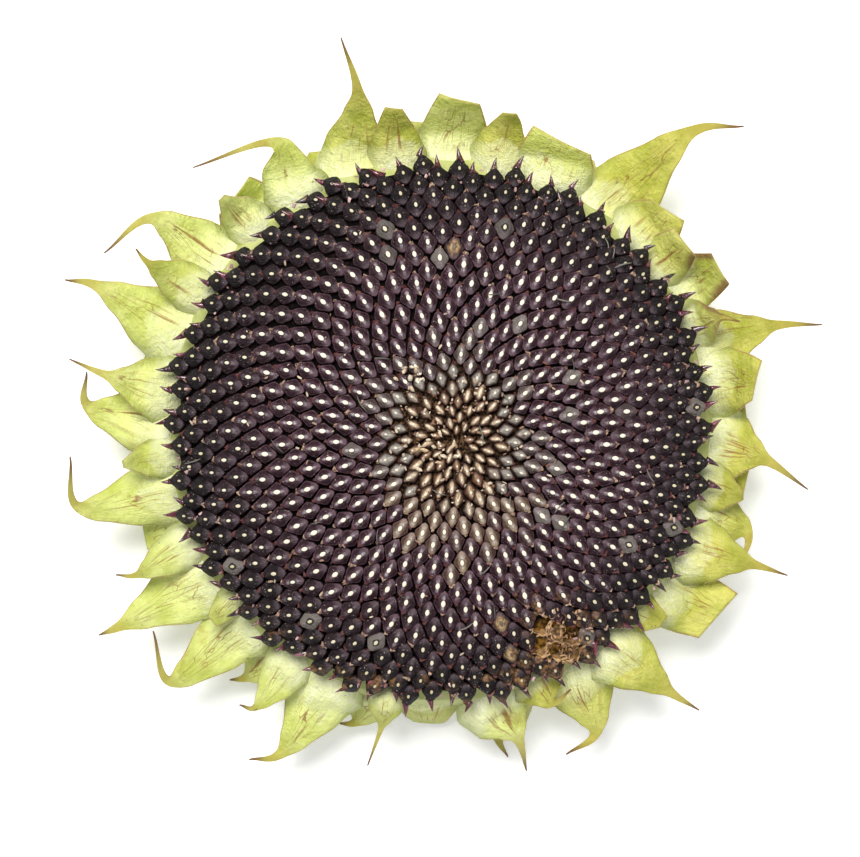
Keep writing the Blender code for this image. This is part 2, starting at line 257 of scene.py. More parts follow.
pith = rind.mix(rind.between(rind.grain(900, 4), 0.4, 0.6), shade(222, 212, 178), shade(240, 236, 214))
# Round the pith runs a ring of fibres, then the brown edge of the rind
pith = rind.mix(rind.between(from_cut, 10.5 * MM, 12.5 * MM), pith, shade(176, 164, 104))
pith = rind.mix(rind.between(from_cut, 13.4 * MM, 14.4 * MM), pith, shade(112, 92, 48))
rind.paint(rind.mix(cut_face, rind_green, pith), height=rind.grain(700, 5), relief=0.4 * MM)

side = [(0, 0)] + [(r * MM, z * MM) for r, z in PAD_SIDE]
for i in range(PAD_TOP_RINGS + 1):
    radius = PAD_TOP_RADIUS * (1 - i / PAD_TOP_RINGS)
    side.append((radius, pad_height(radius)))
pad = new_object("pad", turned(side, PAD_TURNS, rind_relief), rind.material)
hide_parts("receptacle_and_bracts")
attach(pad, "root")

# The bracts
# Fleshy pointed leaves in three rows, grown out of the rind and hugging the seeds' edge.
# Many were trimmed or snapped off blunt; the others end in thin tails that dry and curl.

ROOT_RADIUS = 82  # millimetres
BELLY_RADIUS = 95
BELLY_SHARE = 0.55
ROW_ROOT_HEIGHT = (24, 20.5, 17.5)
ROW_BELLY_HEIGHT = (29.5, 23.5, 15.5)
BLADE_WIDTHS = ((0.0, 0.80), (0.35, 1.0), (0.62, 0.76), (0.84, 0.38), (1.0, 0.15))
TIP_END_WIDTH = 0.45 * MM
BLADE_STEPS = 30
TAIL_STEPS = 12
ACROSS_STEPS = 14
ROOT_ARCH, TIP_ARCH = 0.24, 0.035  # how far the margins bend back, in shares of the width
KEEL = 0.02
MARGIN_THICKNESS = 0.5 * MM
FLESH_THICKNESS = 1.9 * MM  # at the belly, on the midrib
ROW_PUFF = (3.2 * MM, 5.2 * MM, 3.0 * MM)
CREASE = 0.6  # where the puffed belly ends, as a share of the blade
WAVE = 2.2 * MM
WRINKLE = 0.35 * MM
HAIRY_FROM, HAIRY_TO = 0.3, 1.6  # the stretch of a bract's margins that bears hairs
# Where the crumpled leaves at the upper right have dried brown, and how far it reaches
DRIED = (((90, 50, 38), 34 * MM), ((42, 96, 36), 20 * MM))
INNER, MIDDLE, OUTER = 0, 1, 2

# Row, root angle, widest width, then the neck and the end of the tip, each as distance
# from the axis, angle and height. A cut bract has the share of its width that is left.
BRACTS = (
    (OUTER, 4, 25, (102, 4, 17), 0.4),
    (INNER, 11, 26, (104, 9, 38), 0.5),
    (MIDDLE, 18, 27, (114, 17.5, 32), (130, 15.5, 30)),
    (INNER, 23, 19, (98, 22, 40), (103, 20, 44)),
    (MIDDLE, 31, 23, (105, 30, 37), 0.5),
    (OUTER, 33, 24, (103, 33, 16), 0.3),
    (INNER, 37, 19, (100, 37.5, 40), 0.6),
    (INNER, 44, 25, (103, 44, 36), 0.5),
    (MIDDLE, 55, 31, (126, 50, 36), (139, 45, 42)),
    (OUTER, 62, 25, (104, 62, 15), 0.3),
    (INNER, 66, 29, (102, 67, 37), 0.72),
    (OUTER, 79, 23, (101, 80, 24), 0.35),
    (INNER, 78, 20, (105, 77.5, 41), 0.22),
    (MIDDLE, 88, 27, (107, 86.5, 42), 0.5),
    (OUTER, 96, 24, (102, 94.5, 24), 0.35),
    (INNER, 99, 20, (105, 98, 42), 0.28),
    (MIDDLE, 110, 27, (112, 103.5, 42), (129, 104, 54)),
    (OUTER, 113, 24, (101, 113, 15), 0.3),
    (INNER, 121, 23, (108, 120, 37), (118, 133, 28)),
    (OUTER, 131, 26, (102, 131, 26), 0.6),
    (INNER, 132, 17, (103, 133, 40), 0.16),
    (MIDDLE, 142, 26, (116, 143.5, 35), (124, 152, 29)),
    (OUTER, 150, 24, (103, 152, 16), 0.3),
    (INNER, 150, 18, (108, 150, 40), (114, 149, 43)),
    (MIDDLE, 161, 29, (120, 157, 33), (131, 158, 36)),
    (OUTER, 168, 24, (101, 168, 15), 0.35),
    (INNER, 172, 23, (109, 170.5, 35), (123, 169, 30)),
    (MIDDLE, 180, 29, (115, 176, 27), (116, 170.5, 36)),
    (INNER, 185, 15, (103, 186, 37), 0.14),
    (MIDDLE, 193, 25, (120, 192, 31), (119, 184, 44)),
    (OUTER, 200, 25, (104, 200, 14), 0.3),
    (INNER, 204, 17, (108, 205.5, 37), (115, 204, 35)),
    (MIDDLE, 213, 29, (121, 211.5, 29), (130, 211, 27)),
    (INNER, 219, 11, (96, 220, 36), 0.4),
    (MIDDLE, 226, 25, (120, 223, 29), (113, 215, 38)),
    (OUTER, 235, 24, (104, 232, 13), (108, 230, 15)),
    (INNER, 238, 17, (108, 236.5, 31), (110, 234, 36)),
    (MIDDLE, 248, 27, (118, 244, 21), (125, 240, 23)),
    (INNER, 259, 14, (99, 259, 27), (113, 258, 20)),
    (OUTER, 257, 24, (101, 254, 11), (103, 251, 13)),
    (OUTER, 268, 25, (98, 268, 6), 0.4),
    (MIDDLE, 280, 28, (105, 284.5, 22), (117, 284.5, 11)),
    (OUTER, 284, 24, (105, 281, 7), (112, 282, 4)),
    (INNER, 290, 19, (96, 293, 33), (94, 297, 38)),
    (MIDDLE, 301, 28, (112, 297.5, 21), (115, 291.5, 19)),
    (OUTER, 308, 24, (104, 308, 9), 0.3),
    (INNER, 307, 25, (114, 311.5, 27), (126, 313, 21)),
    (INNER, 317, 15, (96, 319.5, 33), 0.3),
    (MIDDLE, 324, 25, (110, 326.5, 26), 0.75),
    (OUTER, 330, 24, (102, 330, 13), 0.35),
    (INNER, 334, 25, (111, 337, 30), (124, 337.5, 25)),
    (MIDDLE, 343, 25, (107, 341.5, 25), (108, 335.5, 30)),
    (INNER, 348.5, 18, (101, 348, 36), 0.12),
    (OUTER, 352, 24, (103, 351, 20), 0.5),
    (MIDDLE, 358.5, 29, (107, 355, 31), (123, 351, 23)),
)


def around(distance, degrees, height):
    """A point from its distance from the axis, angle and height, in millimetres."""
    turn = math.radians(degrees)
    return Vector((distance * math.cos(turn), distance * math.sin(turn), height)) * MM


def through(points, span, t):
    """A point on the smooth curve through points, t of the way along one span."""
    first = 2 * points[0] - points[1]
    last = 2 * points[-1] - points[-2]
    a, b, c, d = ([first] + points + [last])[span : span + 4]
    return 0.5 * (2 * b + (c - a) * t + (2 * a - 5 * b + 4 * c - d) * t**2
                  + (3 * b - a - 3 * c + d) * t**3)


def smooth(t):
    return t * t * (3 - 2 * t)


def width_at(along):
    """Eased reading of BLADE_WIDTHS."""
    for (u0, v0), (u1, v1) in zip(BLADE_WIDTHS, BLADE_WIDTHS[1:]):
        if along <= u1:
            t = (along - u0) / (u1 - u0)
            return v0 + (v1 - v0) * (t + smooth(t)) / 2
    return BLADE_WIDTHS[-1][1]


def blade_stations(row, root_angle, width, neck, tip):
    """Middle, width and place along the whole bract (0 root, 1 neck, 2 tail's end)."""
    cut = not isinstance(tip, tuple)
    belly = min(BELLY_RADIUS, ROOT_RADIUS + BELLY_SHARE * (neck[0] - ROOT_RADIUS))
    points = [
        around(ROOT_RADIUS, root_angle, ROW_ROOT_HEIGHT[row]),
        around(belly, (root_angle + neck[1]) / 2, ROW_BELLY_HEIGHT[row]),
        around(*neck),
    ]
    points += [] if cut else [around(*tip)]
    stations = []
    for i in range(BLADE_STEPS + 1):
        along = i / BLADE_STEPS
        span, t = divmod(along * 2, 1)
        middle = through(points, int(span), t) if along < 1 else points[2].copy()
        share = width_at(along)
        if cut and along > 0.35:
            share = max(share, 1 - (1 - tip) * along**2)
        stations.append((middle, width * MM * share, along))
    if not cut:
        neck_width = stations[-1][1]
        for i in range(1, TAIL_STEPS + 1):
            t = i / TAIL_STEPS
            middle = through(points, 2, t) if t < 1 else points[3].copy()
            stations.append((middle, neck_width + (TIP_END_WIDTH - neck_width) * t**0.6, 1 + t))
    return stations


def add_bract(bm, layers, margins, draw, line):
    """One bract: a fleshy blade, domed at its belly, its margins thin and a little wavy."""
    tone_layer, cut_layer, uv_layer = layers
    stations = blade_stations(*line)
    cut = not isinstance(line[4], tuple)
    tone, phase, waves = draw.random(), draw.uniform(0, 6.3), draw.uniform(5, 9)
    curl, ripple = draw.uniform(-0.06, 0.10), draw.uniform(0.010, 0.028)
    slant = draw.uniform(-0.16, 0.16) if cut else 0
    crease = CREASE + draw.uniform(-0.06, 0.08)
    rings, sides = [], ([], [])
    for i, (middle, width, along) in enumerate(stations):
        ahead = stations[min(i + 1, len(stations) - 1)][0] - stations[max(i - 1, 0)][0]
        ahead.normalize()
        level = Vector((ahead.y, -ahead.x, 0)).normalized()
        square = level.cross(ahead).normalized()
        blade = min(along, 1)
        arch = ROOT_ARCH * (1 - blade) ** 1.5 + TIP_ARCH
        upper, lower = [], []
        for j in range(ACROSS_STEPS + 1):
            v = 2 * j / ACROSS_STEPS - 1
            side = abs(v)
            lift = -arch * side**2 + curl * math.sin(math.pi * blade) * side**4
            lift += ripple * side**2 * math.sin(waves * along + phase + 1.7 * v)
            keel = -KEEL * (1 - side) ** 4 * math.sin(math.pi * min(1, blade * 1.2))
            slide = slant * width * v * smooth(max(0, along - 0.6) / 0.4) if cut else 0
            point = middle + level * width / 2 * v + square * width * (lift + keel) + ahead * slide
            wrinkle = noise.noise(point * 130 + Vector((phase, 0, 0)))
            point += square * WRINKLE * wrinkle * (1 - 0.7 * blade)
            wave = noise.noise(point * 62 + Vector((0, phase, 3.0)))
            point += square * WAVE * wave * math.sin(math.pi * (0.15 + 0.85 * blade)) ** 0.5
            thick = MARGIN_THICKNESS + FLESH_THICKNESS * (1 - side**2) * (1 - blade) ** 0.7
            swell = blade / crease - 0.08 * math.cos(3.1 * v + phase)
            rounded = math.sin(math.pi * clamped(swell) ** 0.8) ** 0.7
            puff = ROW_PUFF[line[0]] * (1 - side**4) * rounded
            if along > 1:
                thick = min(MARGIN_THICKNESS, width * 0.8)
            half = square * thick / 2
            for row, place in ((upper, point + half + square * puff), (lower, point - half)):
                vert = bm.verts.new(place)
                vert[tone_layer], vert[cut_layer] = tone, float(cut)
                row.append(vert)
        rings.append((upper, lower))
        if HAIRY_FROM < along < HAIRY_TO:
            sides[0].append((upper[0].co.copy(), -level))
            sides[1].append((upper[-1].co.copy(), level))

    margins.extend(sides)

    def face(corners, uvs):
        made = bm.faces.new(corners)
        for loop, uv in zip(made.loops, uvs):
            loop[uv_layer].uv = uv

    places = [2 * j / ACROSS_STEPS - 1 for j in range(ACROSS_STEPS + 1)]
    for i, ((up_a, low_a), (up_b, low_b)) in enumerate(zip(rings, rings[1:])):
        u0, u1 = stations[i][2], stations[i + 1][2]
        for j in range(ACROSS_STEPS):
            v0, v1 = places[j : j + 2]
            uvs = ((u0, v0), (u0, v1), (u1, v1), (u1, v0))
            face((up_a[j], up_a[j + 1], up_b[j + 1], up_b[j]), uvs)
            face((low_a[j], low_a[j + 1], low_b[j + 1], low_b[j]), uvs)
        for j, v in ((0, -1), (ACROSS_STEPS, 1)):
            uvs = ((u0, v), (u0, v), (u1, v), (u1, v))
            face((up_a[j], low_a[j], low_b[j], up_b[j]), uvs)
    for upper, lower, u in ((*rings[0], 0), (*rings[-1], stations[-1][2])):
        for j in range(ACROSS_STEPS):
            v0, v1 = places[j : j + 2]
            uvs = ((u, v0), (u, v1), (u, v1), (u, v0))
            face((upper[j], upper[j + 1], lower[j + 1], lower[j]), uvs)


leaf = Finish("bract skin", Subsurface_Weight=0.2, Subsurface_Scale=1.8 * MM,
              Subsurface_Radius=(0.9, 1.0, 0.3))
blade_place = leaf.node("ShaderNodeUVMap", {"uv_map": "blade"})
down = leaf.part_of(blade_place, "X")
over = leaf.part_of(blade_place, "Y")
edge = abs(over)
tone = leaf.attribute("tone")
cut_share = leaf.attribute("cut")
spot = leaf.here()
cloud = leaf.grain(85, 5, 0.6)
# Pale leaves stand at the left, top and bottom, olive ones at the right: partly older leaves, partly
# painted shade on the side turned from the light
older_and_shaded = leaf.part_of(spot, "X") * 4.0 + leaf.part_of(spot, "Y") * 1.0 + tone * 0.6 + 0.02
older_and_shaded = leaf.between(older_and_shaded + leaf.grain(18) * 0.3, 0.15, 0.95)
young_lit_green = leaf.mix(leaf.between(cloud, 0.3, 0.7), shade(194, 204, 88), shade(232, 238, 150))
old_shaded_green = leaf.mix(leaf.between(cloud, 0.3, 0.7), shade(168, 172, 46), shade(216, 212, 104))
green = leaf.mix(older_and_shaded, young_lit_green, old_shaded_green)
own = tone * 40  # sets each bract's pattern apart from the next one's
streaks = leaf.drawn_out(down * 2.2, over * 9, own, detail=4)
veins = leaf.drawn_out(down * 13 + cloud * 3, over * 38, own, detail=3)
wrinkles = leaf.drawn_out(down * 60, over * 6, own, detail=2)
belly = leaf.between(down + streaks * 0.1 + cloud * 0.5 + tone * 0.2, 1.06, 0.66)
cream = leaf.mix(leaf.between(veins, 0.32, 0.66), shade(232, 236, 166), shade(249, 250, 216))
green = leaf.mix(leaf.between(veins, 0.5, 0.72) * 0.28, green, shade(232, 235, 166))
green = leaf.mix(belly * 0.92, green, cream)
# Painted light: a sharp cream step on the lit side of some bracts' crease
lit_crease = leaf.between(down + cloud * 0.25 + edge * 0.12 + tone * 0.2, 0.96, 0.90)
green = leaf.mix(lit_crease * leaf.between(tone, 0.3, 0.7) * 0.34, green, cream)
# Painted shade: darker olive along the margins near the root, where bracts overlap
low = leaf.between(edge + cloud * 0.5, 0.85, 1.28) * leaf.between(down, 0.9, 0.5)
green = leaf.mix(low * 0.62, green, shade(134, 146, 36))
tail = leaf.between(down + edge * 0.06, 0.82, 1.25) * (1 - cut_share)
green = leaf.mix(tail * 0.7, green, shade(222, 202, 96))
tail_end = leaf.between(down, 1.35, 1.95) * (1 - cut_share)
green = leaf.mix(tail_end * 0.9, green, shade(128, 76, 66))
in_middle = leaf.between(edge, 0.7, 0.15) * leaf.between(down, 0.42, 0.55)
in_middle = in_middle * leaf.between(down, 1.0, 0.8)
bruise = leaf.between(streaks + cloud * 0.2, 0.64, 0.78) * in_middle
green = leaf.mix(bruise * 0.85, green, shade(152, 106, 46))
bent = leaf.grain(150, 3, 0.6)
values = {"Vector": leaf.vector(down * 4 + bent * 0.9, over * 5 + bent * 1.4, own), "Scale": 1.0}
cracks = leaf.node("ShaderNodeTexVoronoi", {"feature": "DISTANCE_TO_EDGE"}, values, out="Distance")
cracks = leaf.between(cracks, 0.055, 0.0) * in_middle * leaf.between(leaf.grain(45, 3), 0.42, 0.54)
green = leaf.mix(cracks * 0.85, green, shade(142, 94, 46))
patches = leaf.between(leaf.grain(60, 6, 0.7), 0.56, 0.70) * leaf.between(down, 0.45, 0.65)
green = leaf.mix(patches * 0.42, green, shade(172, 142, 60))
specks = leaf.between(leaf.grain(620, 2, 0.5), 0.735, 0.77)
green = leaf.mix(specks * 0.6, green, shade(112, 84, 44))
rim = leaf.between(edge + streaks * 0.06, 0.955, 1.02) * leaf.between(down, 0.5, 0.8)
green = leaf.mix(rim * 0.6, green, shade(172, 108, 86))
trimmed = leaf.between(down + streaks * 0.03, 0.985, 1.012) * cut_share
green = leaf.mix(trimmed * 0.5, green, shade(176, 150, 92))
dried = 0
for place, reach in DRIED:
    away = leaf.distance(Vector(place) * MM)
    dried = leaf.between(away + cloud * 0.02, reach, reach * 0.5) + dried
outer = edge * leaf.between(down, 0.3, 0.9) + down * 0.3 + cloud * 0.5
dried = dried * leaf.between(outer, 0.95, 1.35)
green = leaf.mix(dried * 0.8, green, shade(128, 78, 56))
relief = veins * 0.35 + wrinkles * 0.3 + cloud * 1.2 + leaf.grain(420, 4, 0.6) * 0.7
leaf.paint(green, 0.44 + leaf.grain(300) * 0.2, relief, relief=1.6 * MM, strength=0.9)

leaf_bm = bmesh.new()
leaf_layers = [leaf_bm.verts.layers.float.new(name) for name in ("tone", "cut")]
leaf_layers.append(leaf_bm.loops.layers.uv.new("blade"))
margins = []
leaf_draw = random.Random(11)
for line in BRACTS:
    add_bract(leaf_bm, leaf_layers, margins, leaf_draw, line)
bracts = new_object("bracts", leaf_bm, leaf.material)
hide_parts("receptacle_and_bracts")
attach(bracts, "root")

# The chaff bed
# Under and between the seeds stands a dense bed of papery scales, painted near black as the deep shade it
# lies in.
# It is grown on the pad's top and fills the space below the seeds' shoulders.

FACE_EDGE_HEIGHT = 39.5 * MM
FACE_CROWN = 17 * MM
FACE_CROWN_POWER = 2.2
EDGE_DROP = 3 * MM
EDGE_DROP_POWER = 12
DIMPLE_DEPTH = 2.2 * MM
DIMPLE_RADIUS = 12 * MM
BED_DEPTH = 4.0 * MM
BED_RADIUS = 84.5 * MM
BED_GAP = 0.4 * MM  # between the pad's top and the bed's underside
BED_RINGS = 12
BED_TURNS = 144
BED_ROUGHNESS = 0.8 * MM
BARE_SPOT = Vector((37, -69.5, 40)) * MM  # where seeds have been eaten
BARE_RADIUS = 11 * MM


def face_height(radius):
    """The height of the seeds' tops at a distance from the axis."""
    share = radius / HEAD_RADIUS
    dome = (1 - share**FACE_CROWN_POWER) * FACE_CROWN
    dimple = math.e ** (-((radius / DIMPLE_RADIUS) ** 2)) * DIMPLE_DEPTH
    return dome - share**EDGE_DROP_POWER * EDGE_DROP - dimple + FACE_EDGE_HEIGHT


def bed_relief(radius, height, turn):
    flat = Vector((math.cos(turn) * radius, math.sin(turn) * radius, 0))
    return radius + BED_ROUGHNESS * noise.noise(flat * 700), height


bed = Finish("packed chaff", Roughness=0.9, Specular_IOR_Level=0.1)
# The near-black is painted shade of the gaps between the seeds
bed_colour = bed.mix(bed.between(bed.grain(900, 4), 0.5, 0.7), shade(4, 2, 3), shade(38, 20, 20))
# The dome's middle is nearest to the stalk's cut end, where distances start
in_middle = bed.between(bed.distance(), 62 * MM, 50 * MM) * bed.between(bed.grain(1300, 4), 0.42, 0.62)
bed_colour = bed.mix(in_middle * 0.8, bed_colour, shade(112, 84, 58))
# Where seeds have been eaten, the floor is bare olive-brown pith
pith = bed.mix(bed.between(bed.grain(700, 4), 0.4, 0.62), shade(58, 40, 14), shade(134, 96, 36))
bare = bed.between(bed.distance(BARE_SPOT), BARE_RADIUS, BARE_RADIUS - 3 * MM)
bed_colour = bed.mix(bare, bed_colour, pith)
bed.paint(bed_colour, height=bed.grain(900, 4), relief=0.8 * MM)
bed_side = [(r * MM, pad_height(r * MM) + BED_GAP) for r in (0, 20, 40, 60, 75, 84)]
bed_side += [(BED_RADIUS, 31.6 * MM), (BED_RADIUS, 33.5 * MM)]
for i in range(BED_RINGS + 1):
    radius = BED_RADIUS * (1 - i / BED_RINGS) - (1.0 * MM if i == 0 else 0)
    bed_side.append((radius, face_height(radius) - BED_DEPTH))
chaff_bed = new_object("chaff_bed", turned(bed_side, BED_TURNS, bed_relief), bed.material)
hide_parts("seeds")
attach(chaff_bed, "root")

# The seeds
# Plump woody hulls stand on end, packed in spirals, each one golden angle on from the last.
# Each is pressed into the shape of its own cell and bears the pale scar of its floret.

SEED_COUNT = 770
CENTRE_SEED_COUNT = 100
SEED_FIELD_RADIUS = 87.6 * MM
CROWDING = 0.129
CROWDING_REACH = 0.168
GOLDEN_ANGLE = math.pi * (3 - math.sqrt(5))
SPIRAL_START = math.radians(40)
SPIRAL_CENTRE = Vector((5.6, -3.0)) * MM
SEED_LEAN = 0.42  # how much of the dome's slope the hulls follow
CELL_RAYS = 24
CELL_PULL = 0.2  # how far a hull's outline follows its cell and not its own lens
CELL_TURN = 0.22  # how far its length follows its cell and not the ray from the middle
PRESSED_SIDE = 55 * MM  # how far to the left the hulls are fully pressed over
PRESSED_START, PRESSED_SPAN = 41.6 * MM, 32 * MM  # and from which distance on
PALE_MIDDLE = Vector((5, -4)) * MM
PALE_SIDEWAYS, PALE_UP, PALE_DOWN = 21 * MM, 25 * MM, 30 * MM  # how far grey hulls reach
HULL_TWIST, HULL_TILT = 0.09, 0.05  # how far a hull stands askew at most, in radians
HULL_RISE = (-0.25, 0.15)  # and how far its top stands off the dome, in millimetres
CENTRE_STRAY = 0.09  # how far the centre seeds stand off their places, in shares of the spacing
HULL_SIDES = 16
CHEWED_SPOT = Vector((37.5, -68.5)) * MM
CHEWED_RADIUS = 7.2 * MM
TAN_SPOTS = ((21, -74), (20, -65.5), (7, 60))  # single pale hulls, in mm
SPOILT_SPOT = Vector((33.5, -69, 40)) * MM


def spread(count_share):
    """The share of the field's area that a share of the seeds covers, before scaling."""
    return count_share - CROWDING * (1 - math.exp(-count_share / CROWDING_REACH))


def seed_share(number):
    """How far out a seed stands, as a share of the field's radius."""
    return math.sqrt(spread((number + 0.5) / SEED_COUNT) / spread(1))


def seed_plan(number):
    share = seed_share(number)
    turn = SPIRAL_START + number * GOLDEN_ANGLE
    outward = Vector((math.cos(turn), math.sin(turn)))
    return outward * SEED_FIELD_RADIUS * share + SPIRAL_CENTRE * max(0, 1 - share**2)


def seed_spacing(number):
    """The side of the square that would hold one seed there."""
    even = math.pi * SEED_FIELD_RADIUS**2 / (SEED_COUNT * spread(1))
    fade = math.exp(-(number + 0.5) / SEED_COUNT / CROWDING_REACH)
    return math.sqrt(even * (1 - CROWDING / CROWDING_REACH * fade))


def ray_to_edge(start, direction, corners):
    """The distance from start to a closed outline along a direction."""
    for a, b in zip(corners, corners[1:] + corners[:1]):
        along = b - a
        cross = direction.x * along.y - direction.y * along.x
        if abs(cross) > 1e-12:
            gap = a - start
            reach = (gap.x * along.y - gap.y * along.x) / cross
            share = (gap.x * direction.y - gap.y * direction.x) / cross
            if reach > 0 and -1e-6 <= share <= 1 + 1e-6:
                return reach
    return 0


def round_middle(a, b, c):
    """The point that lies equally far from three others."""
    spin = 2 * (a.x * (b.y - c.y) + b.x * (c.y - a.y) + c.x * (a.y - b.y))
    x = a.dot(a) * (b.y - c.y) + b.dot(b) * (c.y - a.y) + c.dot(c) * (a.y - b.y)
    y = a.dot(a) * (c.x - b.x) + b.dot(b) * (a.x - c.x) + c.dot(c) * (b.x - a.x)
    return Vector((x, y)) / spin


def lens_reach(turn, share):
    """Half of a hull's free outline: a lens with a blunter outer end, slimmer inwards."""
    slim = smooth(clamped((0.98 - share) / 0.5))
    half_long = (0.64 if math.cos(turn) > 0 else 0.74) + 0.06 * slim
    half_wide = 0.62 - 0.115 * slim
    half_long -= 0.17 * smooth(clamped((0.38 - share) / 0.22))
    power = 1.18 if math.cos(turn) < 0 else 1.25
    size = (abs(math.cos(turn)) / half_long) ** power + (abs(math.sin(turn)) / half_wide) ** power
    return size ** (-1 / power)


class Seed:
    """One seed's place, directions and the waves that sum up to its hull's outline."""

    def __init__(self, number, plan, corners, draw):
        self.number, self.spacing, self.share = number, seed_spacing(number), seed_share(number)
        radial = (plan - SPIRAL_CENTRE).normalized()
        outer = max(corners, key=lambda c: (c - plan).normalized().dot(radial))
        inner = min(corners, key=lambda c: (c - plan).normalized().dot(radial))
        axis = radial.lerp((outer - inner).normalized(), CELL_TURN).normalized()
        # The hulls at the left edge were pressed over and all lie towards the left
        pressed = smooth(clamped(-plan.x / PRESSED_SIDE))
        pressed *= smooth(clamped((plan.length - PRESSED_START) / PRESSED_SPAN))
        axis = axis.lerp(Vector((-1, 0)), pressed * 0.9).normalized()
        axis.rotate(Matrix.Rotation(draw.uniform(-HULL_TWIST, HULL_TWIST), 2))
        beside = Vector((-axis.y, axis.x))
        turns = [2 * math.pi * k / CELL_RAYS for k in range(CELL_RAYS)]
        reaches = []
        for turn in turns:
            ray = axis * math.cos(turn) + beside * math.sin(turn)
            cell = min(ray_to_edge(plan, ray, corners) / self.spacing, 0.85)
            reaches.append(cell**CELL_PULL * lens_reach(turn, self.share) ** (1 - CELL_PULL))
        waves = [sum(reaches) / CELL_RAYS]
        for k in (1, 2, 3, 4):
            for wave in (math.cos, math.sin):
                waves.append(2 * sum(r * wave(k * t) for r, t in zip(reaches, turns)) / CELL_RAYS)
        self.cell = [Vector(waves[i : i + 3]) for i in (0, 3, 6)]
        self.tip = sum(waves[i] for i in (0, 1, 3, 5, 7)) * self.spacing
        radius, step = plan.length, 0.3 * MM
        slope = (face_height(radius + step) - face_height(radius)) / step
        out = plan / radius * -slope * SEED_LEAN
        tilt = Vector([draw.uniform(-HULL_TILT, HULL_TILT) for i in range(2)] + [0])
        self.up = (Vector((out.x, out.y, 1)).normalized() + tilt).normalized()
        self.axis = Vector((*axis, 0))
        self.axis = (self.axis - self.up * self.up.dot(self.axis)).normalized()
        self.place = Vector((*plan, face_height(radius) + draw.uniform(*HULL_RISE) * MM))
        self.luck, self.tan = draw.random(), 0
        away = plan - PALE_MIDDLE
        self.ripe = math.hypot(away.x / PALE_SIDEWAYS, away.y / (PALE_UP if away.y > 0 else PALE_DOWN))


def all_seeds():
    """Every seed, with the corners of the cell that is nearer to it than to any other."""
    places = [seed_plan(n) for n in range(SEED_COUNT + SEED_COUNT // 6)]
    cells = {n: [] for n in range(len(places))}
    for three in geometry.delaunay_2d_cdt(places, [], [], 0, 1e-9)[2]:
        corner = round_middle(*(places[n] for n in three))
        for n in three:
            cells[n].append(corner)
    draw = random.Random(3)
    made = []
    for n in range(SEED_COUNT):
        plan = places[n]
        cells[n].sort(key=lambda c: math.atan2(c.y - plan.y, c.x - plan.x))
        made.append(Seed(n, plan, cells[n], draw))
    return made


def point_mesh(places, vectors, numbers):
    """A mesh of bare points that carry named vectors and numbers."""
    mesh = bpy.data.meshes.new("points")
    mesh.from_pydata(places, [], [])
    for name, values in vectors.items():
        layer = mesh.attributes.new(name, "FLOAT_VECTOR", "POINT")
        layer.data.foreach_set("vector", [part for vector in values for part in vector])
    for name, values in numbers.items():
        layer = mesh.attributes.new(name, "FLOAT", "POINT")
        layer.data.foreach_set("value", values)
    return mesh


def seed_points(seeds, tipwards=0, rise=0.0):
    """One point for each seed, from its top (0) to its outer tip (1), that carries what is known."""
    places = [s.place + s.axis * s.tip * tipwards + s.up * s.spacing * rise for s in seeds]
    vectors = {"up": [s.up for s in seeds], "axis": [s.axis for s in seeds]}
    vectors.update({f"cell_{i}": [s.cell[i] for s in seeds] for i in range(3)})
    names = ("spacing", "share", "luck", "ripe", "tan")
    return point_mesh(places, vectors, {name: [getattr(s, name) for s in seeds] for name in names})


